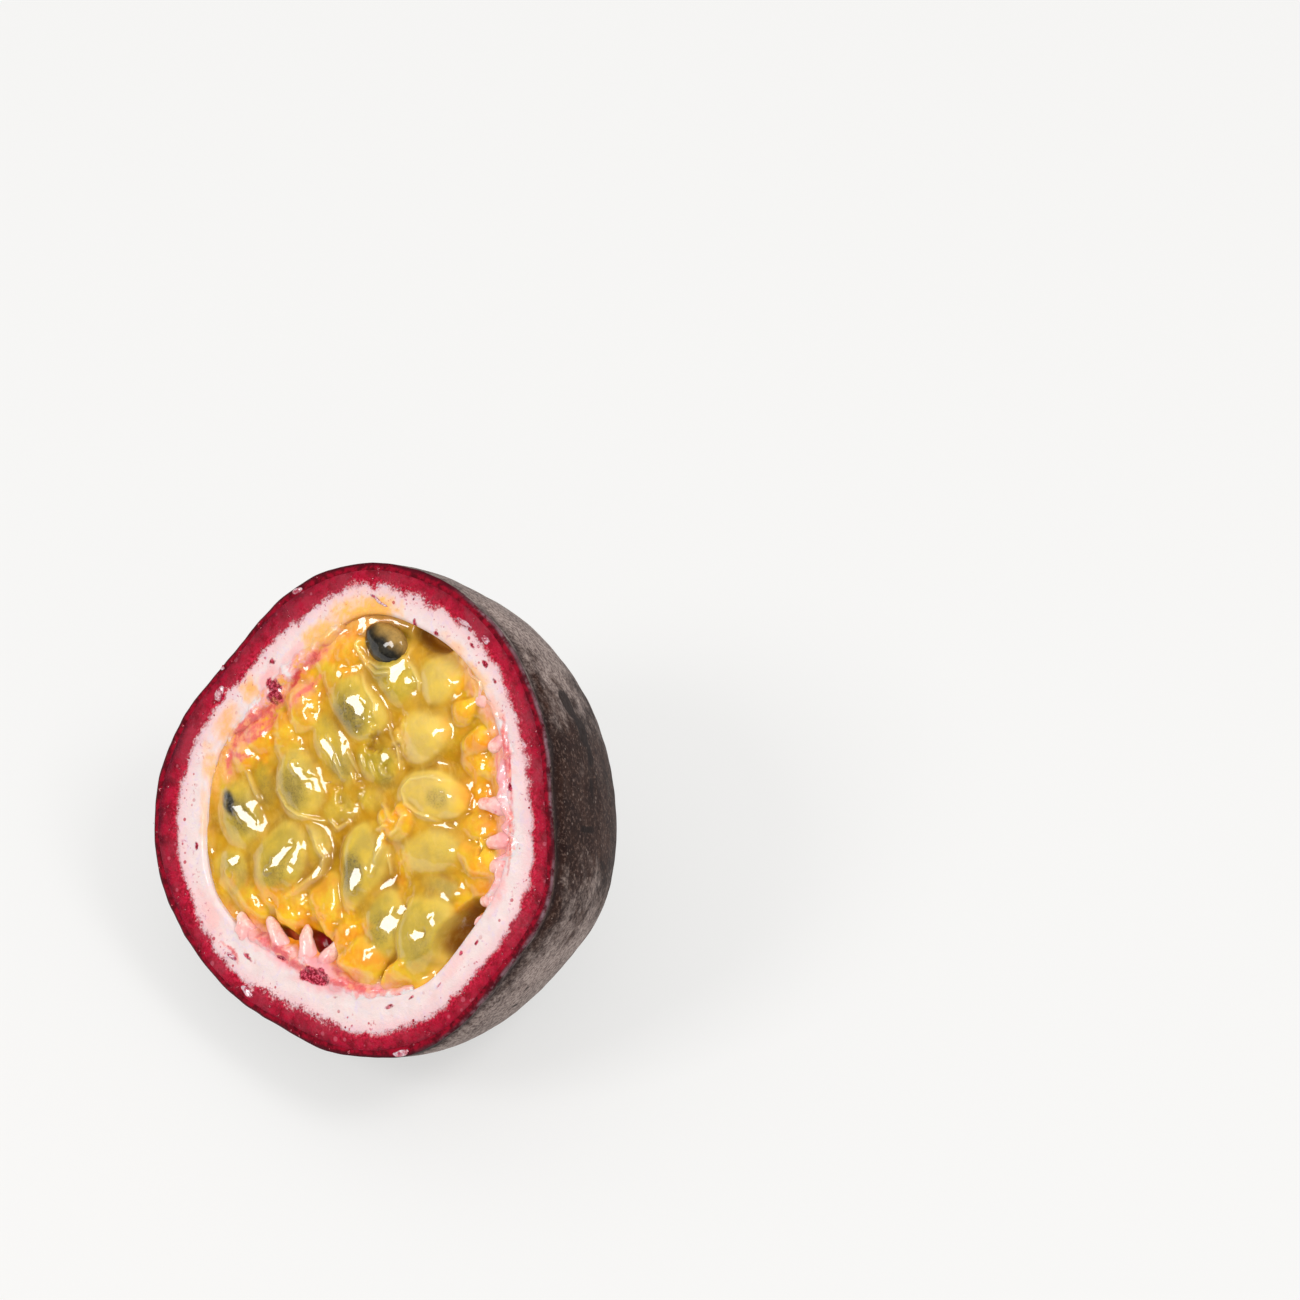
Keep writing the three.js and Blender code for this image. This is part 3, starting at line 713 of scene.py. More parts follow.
# Red and pink threads in the soft tissue: half width, depth, crimson (1) or pink (0), points
streaks = (
    (0.5, 0.85, 0.15, ((-17.3, 9.4), (-15.4, 8.6), (-13.2, 9.6), (-11.6, 11.4))),
    (0.45, 0.8, 0.3, ((-18.2, 7.6), (-16.4, 6.8), (-14.6, 7.4))),
    (0.6, 0.8, 0.0, ((-9.4, 12.2), (-7.4, 14.0), (-5.8, 15.4))),
    (0.3, 0.8, 0.7, ((-16.6, 10.6), (-14.2, 11.0), (-12.4, 12.6), (-10.6, 13.4))),
    (0.25, 0.7, 0.8, ((19.4, 9.0), (19.9, 6.2), (20.0, 3.4), (20.3, 0.4))),
    (0.22, 0.7, 0.8, ((20.6, -1.6), (20.2, -4.6), (19.8, -7.4))),
    (0.75, 1.0, 0.45, ((-11.4, 13.2), (-12.8, 11.8), (-14.3, 11.5), (-15.6, 10.8), (-17.0, 9.7),
                       (-17.5, 8.4))),
    (0.45, 1.0, 0.9, ((-9.9, 14.2), (-8.9, 15.6), (-8.4, 16.4))),
    (0.8, 0.8, 0.1, ((-8.4, 16.2), (-6.3, 17.7), (-5.0, 18.7))),
    (0.7, 0.8, 0.1, ((-16.2, 9.0), (-14.6, 9.9), (-12.6, 10.9))),
    (0.5, 0.75, 0.3, ((-17.6, 8.2), (-18.6, 6.6), (-18.4, 5.2))),
    (0.4, 0.7, 0.3, ((19.0, 10.2), (19.3, 6.4), (19.7, 2.6))),
    (0.35, 0.6, 0.2, ((20.2, 1.6), (20.1, -2.6), (19.4, -6.4))),
    (0.3, 0.6, 0.1, ((18.2, 8.4), (18.0, 5.2), (18.5, 2.0))),
    (0.7, 0.9, 0.4, ((-14.0, -13.4), (-11.2, -15.0), (-8.4, -16.8), (-5.6, -17.6))),
    (0.55, 0.85, 0.4, ((-4.6, -18.4), (-2.0, -19.0), (0.8, -19.6), (3.0, -19.8))),
    (0.3, 0.6, 0.4, ((-3.8, -17.2), (-2.6, -18.2), (-0.8, -18.6))),
    (0.3, 0.7, 0.3, ((-19.0, -14.0), (-17.4, -15.0), (-16.6, -16.4))),
)


# How strongly each of the marks colours the points of the cut face.
def faceMarks(points):
    x, y = points[..., 0], points[..., 1]
    wander = waver(points, *marks["edges"])
    stain, soak, soakHue, streak, crimson = (np.zeros(x.shape) for _ in range(5))
    for *oval, depth in stains:
        stain = np.maximum(stain, depth * smoothStep(1.3, 0.5, ovalDistance(x, y, oval) + wander))
    for *oval, hue, depth in soaks:
        mark = depth * smoothStep(1.35, 0.25, ovalDistance(x, y, oval) + wander)
        soakHue = np.where(mark > soak, hue, soakHue)
        soak = np.maximum(soak, mark)
    for halfWidth, depth, red, line in streaks:
        gap, place = toLine(x, y, line)
        mark = depth * bell(gap / halfWidth + 0.8 * wander, 1.0) * smoothStep(4.0, 1.5, gap / halfWidth)
        mark = mark * (0.5 + 0.5 * np.sin(np.pi * np.clip(place, 0.1, 0.9)))
        crimson = np.where(mark > streak, red, crimson)
        streak = np.maximum(streak, mark)
    nearCut = smoothStep(*marks["depths"], points[..., 2])
    return {"stain": stain * nearCut, "soak": soak * nearCut, "soakHue": soakHue,
            "streak": streak * nearCut, "crimson": crimson}


# The shared colours of the marks laid over a ground colour.
def makeMarkedFlesh():
    group, shade, given, result = newGroup(
        "markedFlesh",
        [("Ground", "NodeSocketColor", (0.8, 0.8, 0.8, 1.0)), ("Strength", "NodeSocketFloat", 1.0)],
        [("Color", "NodeSocketColor")])
    grain, mottle = shade.noise(0.45, 3.0, 0.65), shade.noise(1.1, 4.0, 0.6)
    stain, streak = shade.attribute("stain"), shade.attribute("streak")
    soaked = shade.mix(shade.attribute("soakHue"), shade.mix(grain, *marks["pinkSoak"]),
                       shade.mix(grain, *marks["orangeSoak"]))
    amount = shade.times(shade.attribute("soak"), shade.scaled(grain, 1.3, 0.45))
    colour = shade.over(given["Ground"], soaked, amount, given["Strength"])
    red = shade.mix(shade.attribute("crimson"), *marks["thread"])
    red = shade.over(red, marks["threadPale"], shade.ramp(mottle, 0.5, 0.66), 0.8)
    red = shade.over(red, marks["threadDark"], shade.ramp(mottle, 0.47, 0.32), 0.8)
    thread = shade.ramp(shade.scaled(grain, 0.8, shade.minus(streak, 0.4)), 0.15, 0.75)
    colour = shade.over(colour, red, shade.times(thread, shade.ramp(streak, 0.02, 0.2)), 0.85)
    deep = shade.mix(shade.patches(0.44, 0.62, 0.3, 3.0, 0.7), *marks["stain"])
    mark = shade.ramp(shade.scaled(grain, 0.9, shade.minus(stain, 0.45)), 0.2, 0.7)
    shade.wire(shade.over(colour, deep, mark, shade.ramp(stain, 0.02, 0.2)), result["Color"])
    return group


markedFlesh = makeMarkedFlesh()


flesh = {
    "sides": 480,
    "wallRings": 14,
    "redFaceRings": 16,
    "pithFaceRings": 24,
    "pithInnerRings": 60,
    "firstFall": 0.015,              # radians of fall of the walls' rings next to the cut
    "firstAcross": 0.01,             # share of the face's width that its outermost rings take
    "peelGap": 0.02,
    "redFloors": (1.2, 2.5),         # mm over the resting spot, of the outer and inner wall
    "pithFloors": (2.55, 0.0),
    "pithOverlap": 0.04,             # mm that the pith reaches out into the red flesh
    "pithLap": 0.012,                # mm that it lies over it, so that no gap shows
    "pithSoftEdge": 0.3,             # mm that its edge sinks into the cavity
    "surface": {"Subsurface Weight": 0.35, "Subsurface Radius": (1.0, 0.4, 0.3), "Subsurface Scale": 0.0011,
                "Specular IOR Level": 0.15, "Coat Roughness": 0.05},
    "white": (tint(224, 199, 197), tint(241, 225, 221)),
    "whiteCloud": tint(227, 208, 216),
    "pinkish": tint(236, 158, 172),
    "fleck": tint(190, 30, 60),
    "dot": tint(182, 16, 50),
    "innerRed": (tint(152, 2, 33), tint(208, 32, 66)),
    "outerRed": (tint(122, 6, 28), tint(172, 14, 48)),
    "dullRed": tint(158, 48, 66),
    "sparkleHighlight": tint(216, 120, 138),
    "rimRed": tint(70, 8, 27),
}


# A layer between two walls, with its cut finely divided and its hidden walls coarse.
# Rings run from the outer tip up, across the cut and down the inner wall to its tip.
def layerGrid(outerWall, innerWall, floors, faceRings, innerRings):
    angle = np.linspace(0, 2 * np.pi, flesh["sides"], endpoint=False)[None]
    level = np.zeros((1, 1))
    outerFall = np.linspace(0.5 * np.pi, flesh["firstFall"], flesh["wallRings"])[:, None]
    innerFall = np.linspace(flesh["firstFall"], 0.5 * np.pi, innerRings)[:, None]
    outer = restOn(wallPoints(*outerWall, angle, outerFall), floors[0])
    inner = restOn(wallPoints(*innerWall, angle, innerFall), floors[1])
    first = flesh["firstAcross"]
    across = np.concatenate([[0.0], np.linspace(first, 1 - first, faceRings - 2), [1.0]])[:, None, None]
    face = wallPoints(*outerWall, angle, level) * (1 - across) + wallPoints(*innerWall, angle, level) * across
    face[..., 2] = faceLift(face)
    return np.concatenate([outer, face, inner])


# Distance outwards from the pith's edge, mm, measured in the plane of the cut.
def fromPith(rings):
    angle = np.arctan2(rings[..., 1], rings[..., 0])
    return np.hypot(rings[..., 0], rings[..., 1]) - radiusAt(rind["pithRadii"], angle)


def faceValues(rings):
    values = {"fromPith": fromPith(rings), **faceMarks(rings)}
    return {key: gridValues(value) for key, value in values.items()}


def makeRedFlesh():
    rings = layerGrid(
        (rind["skinRadii"], rind["depth"], rind["peelThickness"] + flesh["peelGap"]),
        (rind["pithRadii"], rind["redDepth"], 0.0),
        flesh["redFloors"], flesh["redFaceRings"], flesh["wallRings"])
    return makePiece("redFlesh", [closedGrid(rings)], faceValues(rings))


def makeWhitePith():
    rings = layerGrid(
        (rind["pithRadii"], rind["redDepth"], -flesh["pithOverlap"]),
        (rind["cavityRadii"], rind["cavityDepth"], 0.0),
        flesh["pithFloors"], flesh["pithFaceRings"], flesh["pithInnerRings"])
    face = rings[flesh["wallRings"]:flesh["wallRings"] + flesh["pithFaceRings"]]
    across = np.linspace(0, 1, flesh["pithFaceRings"])[:, None]
    face[..., 2] += flesh["pithLap"] * smoothStep(0.3, 0.0, across)
    face[..., 2] -= flesh["pithSoftEdge"] * smoothStep(0.8, 1.0, across) ** 2
    return makePiece("whitePith", [closedGrid(rings)], faceValues(rings))


# White inside the ragged edge, crimson outside it: gives the colour and the red's mask.
def rindColours(shade):
    distance = shade.attribute("fromPith")
    raggedness = shade.scaled(shade.noise(9.0), 1.2, -0.08)
    edge = shade.useGroup(raggedEdge, Distance=distance, Raggedness=raggedness)
    white = shade.mix(shade.noise(1.5, 4.0, 0.6), *flesh["white"])
    white = shade.mix(shade.patches(0.52, 0.68, 0.8, 3.0, 0.6), white, flesh["whiteCloud"])
    pinkish = shade.ramp(shade.plus(distance, shade.noise(3.0)), -1.4, 0.6)
    white = shade.over(white, flesh["pinkish"], pinkish, 0.38)
    white = shade.useGroup(markedFlesh, Ground=white)["Color"]
    white = shade.over(white, flesh["fleck"], edge["Fleck"], 0.8)
    dots = shade.useGroup(specks, Scale=820.0, Size=0.24)["Mask"]
    dots = shade.times(dots, shade.ramp(distance, -3.2, -1.0))
    white = shade.over(white, flesh["dot"], dots, 0.8)
    inner = shade.mix(shade.patches(0.42, 0.62, 0.3, 2.0, 0.6), *flesh["innerRed"])
    outer = shade.mix(shade.patches(0.36, 0.62, 1.4, 4.0, 0.65), *flesh["outerRed"])
    red = shade.mix(shade.ramp(distance, 0.1, 1.5), inner, outer)
    red = shade.over(red, flesh["dullRed"], shade.patches(0.44, 0.64, 4.5, 3.0, 0.6), 0.6)
    # painted sparkle highlights: pale pink specks over the red flesh
    red = shade.over(red, flesh["sparkleHighlight"], shade.useGroup(specks, Scale=760.0, Size=0.26)["Mask"], 0.3)
    rim = shade.ramp(shade.plus(distance, shade.noise(1.2, 3.0, 0.6)), 1.9, 3.2)
    red = shade.over(red, flesh["rimRed"], rim, shade.scaled(shade.patches(0.4, 0.6, 6.0), 0.5, 0.45))
    return shade.mix(edge["Red"], white, red), edge["Red"]


# Red flesh and white pith share one finish, so that no seam shows where they meet.
def rindFinish(name):
    material, shade, surface = newMaterial(name, flesh["surface"])
    colour, red = rindColours(shade)
    shade.wire(colour, surface.inputs["Base Color"])
    wet = shade.times(shade.patches(0.42, 0.6, 2.2, 3.0, 0.6), shade.scaled(red, -0.15, 0.35))
    shade.wire(wet, surface.inputs["Coat Weight"])
    shade.wire(shade.scaled(shade.noise(0.8), 0.2, 0.2), surface.inputs["Roughness"])
    height = shade.plus(shade.noise(0.36, 4.0, 0.65), shade.times(shade.noise(1.6), 0.9))
    shade.wire(shade.bump(height, 0.5, 0.15), surface.inputs["Normal"])
    return material


dressAs(makeRedFlesh(), rindFinish("redFinish"), "red_rind", "red_rind")
print("red flesh made")

dressAs(makeWhitePith(), rindFinish("pithFinish"), "white_pith", "white_pith")
print("white pith made")


placenta = {
    "rows": (60, 48),                # rings along a ridge and points round it
    "height": 1.4,
    "edge": 0.5,
    "startFall": 4.5,                # degrees of fall between which the ridges run
    "endFall": 66.0,
    "touchGap": 0.12,
    "ridgeLumps": (0.22, 1.7),       # share of the height; size mm
    "stalkRows": (26, 22),
    "rootRadius": 1.5,
    "tipRadius": 0.5,
    "rootInset": -1.2,
    "rootDrop": 1.5,
    "arch": 0.5,
    "stalkSwell": (0.15, 1.3),
    "stalkLumps": ((0.15, 0.9), (0.07, 0.4)),
    "tipRound": (0.84, 0.17),        # from which share of its length a stalk rounds off, over which share
    "surface": {"Subsurface Weight": 0.1, "Subsurface Radius": (1.0, 0.35, 0.25), "Subsurface Scale": 0.0008,
                "Roughness": 0.35, "Specular IOR Level": 0.2, "Coat Weight": 0.7, "Coat Roughness": 0.05},
    "pink": (tint(244, 166, 168), tint(252, 206, 200)),
    "blood": tint(208, 34, 62),
    "stalkPale": (tint(250, 176, 158), tint(254, 222, 208)),
    "stalkFleck": tint(226, 96, 108),
}

# middle and half width of each ridge, degrees, then its stalks: angle of the root; x, y and level of the tip
ridges = {
    "placenta_upper": (129.0, 21.0, ((138, -12.2, 9.8, -2.4), (123, -8.2, 11.6, -3.2),
                                     (113, -5.4, 14.2, -2.6))),
    "placenta_right": (2.0, 31.0, ((22, 16.9, 6.4, -0.7), (8, 15.2, 3.2, -4.2), (0, 15.5, 0.7, -0.5),
                                   (-9, 16.6, -3.9, -0.6), (-17, 15.0, -6.8, -4.4), (-27, 15.7, -10.3, -0.8),
                                   (33, 14.8, 11.9, -1.0), (-16, 17.0, -6.6, -0.6))),
    "placenta_lower": (249.0, 30.0, ((222, -16.7, -10.6, -0.4), (239, -12.8, -11.2, -0.5),
                                     (247, -7.5, -12.2, -0.5), (249, -3.1, -13.9, -0.8),
                                     (240, -9.9, -11.8, -4.0), (254, -5.2, -13.2, -4.2))),
}


# A ridge on the cavity's wall: a closed grid whose rings run round its section. Its back
# lies on the wall and its front stands out by bow * sin(turn)^0.5.
def ridgeGrid(middle, halfWidth, seed):
    rings, sides = placenta["rows"]
    along = np.linspace(0, 1, rings)[:, None]
    turn = np.linspace(0, 2 * np.pi, sides, endpoint=False)[None]
    sideways = np.cos(turn)
    angle = np.radians(middle + sideways * halfWidth)
    fall = np.radians(placenta["startFall"] * (1 - along) + placenta["endFall"] * along)
    bow = placenta["edge"] + (placenta["height"] - placenta["edge"]) * (1 - sideways ** 2)
    raised = bow * np.clip(np.sin(turn), 0, 1) ** 0.5 * smoothStep(1.02, 0.8, along)
    wall = wallPoints(rind["cavityRadii"], rind["cavityDepth"], placenta["touchGap"], angle, fall)
    inward = wallPoints(rind["cavityRadii"], rind["cavityDepth"], 1.0, angle, fall) - wall
    points = wall + inward * raised[..., None]
    height, size = placenta["ridgeLumps"]
    lump = height * smoothNoise(points, size, seed) * (raised > 0)
    points = points + inward * lump[..., None]
    first = points[:1].mean(1, keepdims=True) + 0 * points[:1]
    last = points[-1:].mean(1, keepdims=True) + 0 * points[-1:]
    return np.concatenate([first, points, last])


# A bent tapering stalk: circles carried along an arched line from root to tip.
def stalkGrid(root, tip, seed):
    rings, sides = placenta["stalkRows"]
    t = np.linspace(0, 1, rings)[:, None]
    line = root * (1 - t) + tip * t + np.array([0, 0, 1.0]) * placenta["arch"] * np.sin(np.pi * t)
    along = np.gradient(line, axis=0)
    along /= np.linalg.norm(along, axis=1, keepdims=True)
    side = np.cross(along, [0, 0, 1.0])
    side /= np.linalg.norm(side, axis=1, keepdims=True)
    over = np.cross(side, along)
    turn = np.linspace(0, 2 * np.pi, sides, endpoint=False)
    radius = placenta["rootRadius"] + (placenta["tipRadius"] - placenta["rootRadius"]) * t ** 1.2
    radius = radius * (1 + waver(line[:, None], (*placenta["stalkSwell"], seed + 9)))
    roundFrom, roundOver = placenta["tipRound"]
    radius = radius * np.sqrt(np.clip(1 - np.clip((t - roundFrom) / roundOver, 0, 1) ** 2, 0.02, 1))
    ring = (side[:, None] * np.cos(turn)[None, :, None] + over[:, None] * np.sin(turn)[None, :, None])
    points = line[:, None] + ring * radius[:, :, None]
    points = points + ring * waver(points, *[(*lumps, seed) for lumps in placenta["stalkLumps"]])[..., None]
    first = line[:1, None] + 0 * points[:1]
    last = line[-1:, None] + 0 * points[-1:]
    return np.concatenate([first, points, last])


# One ridge with its stalks; the value stalk runs from 0 on the ridge to 1 at a stalk's tip.
def makePlacenta(name, finish):
    middle, halfWidth, stalks = ridges[name]
    ridge = ridgeGrid(middle, halfWidth, int(middle))
    grids = [closedGrid(ridge)]
    stalkValues = [gridValues(np.zeros(ridge.shape[:2]))]
    inset = placenta["touchGap"] + placenta["rootInset"]
    for i, (rootAngle, tipX, tipY, level) in enumerate(stalks):
        angle, fall = np.array(math.radians(rootAngle)), np.array(math.asin(-level / rind["cavityDepth"]))
        root = wallPoints(rind["cavityRadii"], rind["cavityDepth"], inset, angle, fall)
        root[2] = level - placenta["rootDrop"]
        stalk = stalkGrid(root, np.array([tipX, tipY, level]), 40 + i)
        grids.append(closedGrid(stalk))
        stalkValues.append(gridValues(np.linspace(0.15, 1, len(stalk))[:, None] + 0 * stalk[..., 0]))
    everyPoint = np.concatenate([points for points, _ in grids])
    values = {"stalk": np.concatenate(stalkValues), **faceMarks(everyPoint)}
    dressAs(makePiece(name + "Flesh", grids, values), finish, "placenta", name)


def placentaFinish():
    material, shade, surface = newMaterial("placentaFinish", placenta["surface"])
    pink = shade.mix(shade.noise(1.3, 4.0, 0.6), *placenta["pink"])
    pink = shade.over(pink, placenta["blood"], shade.patches(0.52, 0.68, 1.3, 3.0, 0.6), 0.8)
    pink = shade.useGroup(markedFlesh, Ground=pink)["Color"]
    pale = shade.mix(shade.patches(0.35, 0.65, 0.9, 3.0, 0.6), *placenta["stalkPale"])
    flecks = shade.patches(0.58, 0.7, 0.6, 4.0, 0.7, (1.0, 0.3, 1.0))
    pale = shade.over(pale, placenta["stalkFleck"], flecks, 0.4)
    flush = shade.plus(shade.attribute("stalk"), shade.times(shade.noise(0.7, 3.0, 0.6), 0.5))
    shade.wire(shade.mix(shade.ramp(flush, 0.7, 1.2), pink, pale), surface.inputs["Base Color"])
    height = shade.plus(shade.noise(0.5, 3.0, 0.6), shade.noise(1.2, 3.0, 0.6))
    shade.wire(shade.bump(height, 0.45, 0.16), surface.inputs["Normal"])
    return material


tissue = {
    "sheets": {                      # from and to angle, inner and outer share, raggedness, amber, seed
        "placenta_upper": (97.0, 157.0, 0.885, 1.09, 0.035, 1.0, 91),
        "placenta_right": (-40.0, 48.0, 0.92, 1.06, 0.055, 0.1, 95),
        "placenta_lower": (214.0, 290.0, 0.89, 1.07, 0.04, 0.15, 99),
    },
    "pointsPerDegree": 2.2,
    "pointsAcross": 34,
    "wander": (0.035, 3.0),          # of the edges: share of the radius; size mm
    "jagSize": 1.2,
    "outerWander": 1.3,              # how much more the outer edge wanders than the inner
    "narrowEnds": 0.2,
    "lift": 0.22,                    # mm that the middle stands over the cut
    "lumps": (0.22, 1.5),
    "grain": (0.08, 0.6),
    "innerDip": 1.2,                 # mm that the inner edge, outer edge and ends go under
    "outerDip": 0.16,
    "endDip": 0.3,
    "thickness": 0.5,
    "surface": {"Subsurface Weight": 0.35, "Subsurface Radius": (1.0, 0.45, 0.3), "Subsurface Scale": 0.0012,
                "Specular IOR Level": 0.35, "Coat Weight": 0.6, "Coat IOR": 1.5, "Coat Roughness": 0.04,
                "Roughness": 0.3},
    "pale": (tint(232, 210, 208), tint(244, 232, 230)),
    "pinkish": (tint(240, 146, 150), tint(250, 196, 184)),
    "pink": (tint(244, 158, 162), tint(252, 214, 206)),
    "orange": (tint(248, 150, 36), tint(254, 200, 96)),
    "vein": tint(216, 50, 70),
    "innerEdge": tint(252, 146, 26),
}


# A thin wet sheet over the joint of pith and pulp: for each angle a flat loop of points whose
# top is lifted by lumps and whose edges dip under the pith and the pulp.
def makeTissue(name, finish):
    start, end, inner, outer, jag, amber, seed = tissue["sheets"][name]
    angle = np.radians(np.linspace(start, end, int((end - start) * tissue["pointsPerDegree"])))[:, None]
    t = np.linspace(0, 1, tissue["pointsAcross"])[None]
    across = np.concatenate([t, t[:, ::-1]], 1)
    around = angle + 0 * across
    circle = np.stack([np.cos(around), np.sin(around), 0 * around], -1) * 20.0
    wander = waver(circle, (*tissue["wander"], seed), (jag, tissue["jagSize"], seed + 1))
    share = (inner + wander) * (1 - across) + (outer + tissue["outerWander"] * wander) * across
    ends = np.sin(np.pi * np.linspace(0, 1, len(angle)))[:, None] ** 0.5
    narrow = tissue["narrowEnds"]
    share = 1 + (share - 1) * (narrow + (1 - narrow) * ends)
    reach = share * radiusAt(rind["cavityRadii"], angle)
    points = np.stack([reach * np.cos(angle), reach * np.sin(angle), 0 * reach], -1)
    top = tissue["lift"] * smoothStep(1.0, 0.45, across) * smoothStep(0.0, 0.2, across) * ends
    top = top + waver(points, (*tissue["lumps"], seed + 2), (*tissue["grain"], seed + 3))
    top = top - tissue["innerDip"] * smoothStep(0.5, 0.0, across)
    top = top - tissue["outerDip"] * smoothStep(0.5, 1.0, across) - tissue["endDip"] * (1 - ends)
    under = np.concatenate([0 * t, -tissue["thickness"] * np.sin(np.pi * t) ** 0.3], 1)
    points[..., 2] = faceLift(points) + top + under
    fields = {"across": across + 0 * reach, "amber": amber + 0 * reach, **faceMarks(points)}
    values = {key: gridValues(value) for key, value in fields.items()}
    dressAs(makePiece(name + "Tissue", [closedGrid(points)], values), finish, "placenta", name)


# Pale at the outer edge, pink in the middle, orange where it meets the pulp.
def tissueFinish():
    material, shade, surface = newMaterial("tissueFinish", tissue["surface"])
    across = shade.attribute("across")
    coarse, fine = shade.noise(1.5, 4.0, 0.65), shade.noise(0.5, 3.0, 0.6)
    pale, pinkish = shade.mix(fine, *tissue["pale"]), shade.mix(fine, *tissue["pinkish"])
    pink, orange = shade.mix(fine, *tissue["pink"]), shade.mix(coarse, *tissue["orange"])
    inside = shade.mix(shade.attribute("amber"), pink, orange)
    inward = shade.scaled(shade.minus(coarse, 0.5), 2.4, across)
    middle = shade.mix(shade.ramp(inward, 0.15, 0.5), inside, pinkish)
    colour = shade.mix(shade.ramp(inward, 0.5, 0.8), middle, pale)
    colour = shade.over(colour, tissue["vein"], shade.patches(0.6, 0.7, 0.9, 4.0, 0.7), 0.55)
    colour = shade.mix(shade.ramp(across, 0.36, 0.12), colour, tissue["innerEdge"])
    colour = shade.useGroup(markedFlesh, Ground=colour)["Color"]
    shade.wire(colour, surface.inputs["Base Color"])
    shade.wire(shade.bump(shade.plus(fine, coarse), 0.4, 0.14), surface.inputs["Normal"])
    return material


placentaPaint, tissuePaint = placentaFinish(), tissueFinish()
for placentaName in ridges:
    makePlacenta(placentaName, placentaPaint)
    makeTissue(placentaName, tissuePaint)
print("placentas made")


pulp = {
    "cells": 270,                    # cells along each side of the grid that covers the cut
    "edgeGap": -0.15,                # mm to the cavity's wall; below 0 the pulp laps into it
    "lowest": -5.6,
    "underGap": 0.6,
    "underFalls": (14.0, 22.0, 34.0, 48.0, 62.0, 76.0, 86.0),
    "thickness": 5.2,
    "taper": 0.2,
    "flatness": 2.7,                 # how flat the sacs' tops are
    "flank": 5.0,                    # how steeply they fall outside their outline
    "blend": 0.18,                   # mm over which neighbouring sacs melt together
    "floor": -3.6,
    "seeded": {"grow": 1.1, "warp": (0.45, 3.2), "shell": 1.0},
    "plain": {"grow": 1.08, "warp": (0.75, 2.2), "shell": 0.4, "milk": 0.3},
    "warpSeed": 71,
    "jellySpread": 1.5,              # mm over which the jelly evens out the sacs' tops
    "jellyDrop": 0.04,
    "jellyFloor": -1.5,              # the jelly fills the clefts between sacs up to about here
    "jellyEdge": 0.12,
    "openDrop": 1.1,                 # mm more between the loose sacs at the lower right
    "openBelow": (-9.5, -14.5),      # mm up and across the cut between which they come loose
    "openBeyond": (-0.5, 3.0),
    "lumps": (0.1, 2.3, 61),
    "wrinkles": (0.035, 0.75, 62),
    "grains": (0.07, 0.5, 60),       # of the orange rim alone
    "edgeLumps": (0.16, 1.2, 59),
    "orangeEdges": ((0.3, 1.8, 68), (0.2, 0.7, 69)),
    "flatEdges": ((0.4, 0.9, 66), (0.25, 0.4, 67)),
    "pinkEdges": ((0.05, 1.6, 64), (0.03, 0.6, 65)),
    "shadowEdges": (0.12, 1.2, 63),
    "edgeLevels": (-0.35, -0.3, -0.4, -2.6, -1.3, -0.25, -0.25, -0.4,
                   -0.6, -0.7, -1.2, -2.4, -0.6, -0.6, -2.4, -0.6),
    "edgePink": (0.7, 0.9, 0.4, 0.0, 0.1, 0.6, 0.9, 0.3, 0.0, 0.0, 0.6, 0.9, 0.5, 0.0, 0.0, 0.5),
    "glintSlope": (-0.258, -0.026),  # fall of the flat wet places, across and up the cut
    "calmSlope": (0.1, 0.06),
    "flatReach": 2.5,                # mm that laying a place flat may move it at most
    # painted shade: how widely and how deeply the valleys between the sacs are darkened
    "valleyShade": (0.5, 0.35),           # spread mm and depth mm of a full valley
    "surface": {"Subsurface Weight": 0.25, "Subsurface Radius": (1.0, 0.7, 0.15), "Subsurface Scale": 0.001,
                "Specular IOR Level": 0.15, "Coat Weight": 1.0, "Coat IOR": 1.62, "Coat Roughness": 0.02,
                "Roughness": 0.35},
    "clearJelly": (tint(170, 146, 26), tint(206, 174, 46)),
    "milkyJelly": (tint(222, 188, 98), tint(236, 200, 86)),
    "amber": (tint(156, 108, 0), tint(198, 142, 2)),
    "brightAmber": tint(226, 168, 20),
    "shell": tint(246, 210, 90),
    "core": tint(118, 104, 58),
    "orange": (tint(255, 154, 0), tint(255, 204, 26)),
    "valleyShadeAmber": tint(152, 98, 0),
    "hollow": (tint(160, 100, 10), tint(200, 34, 54)),
    "pinkTissue": (tint(246, 150, 110), tint(250, 196, 176)),
    "black": (tint(32, 30, 28), tint(74, 72, 66)),
    "thread": tint(248, 226, 150),
    "fibre": tint(244, 212, 110),
}

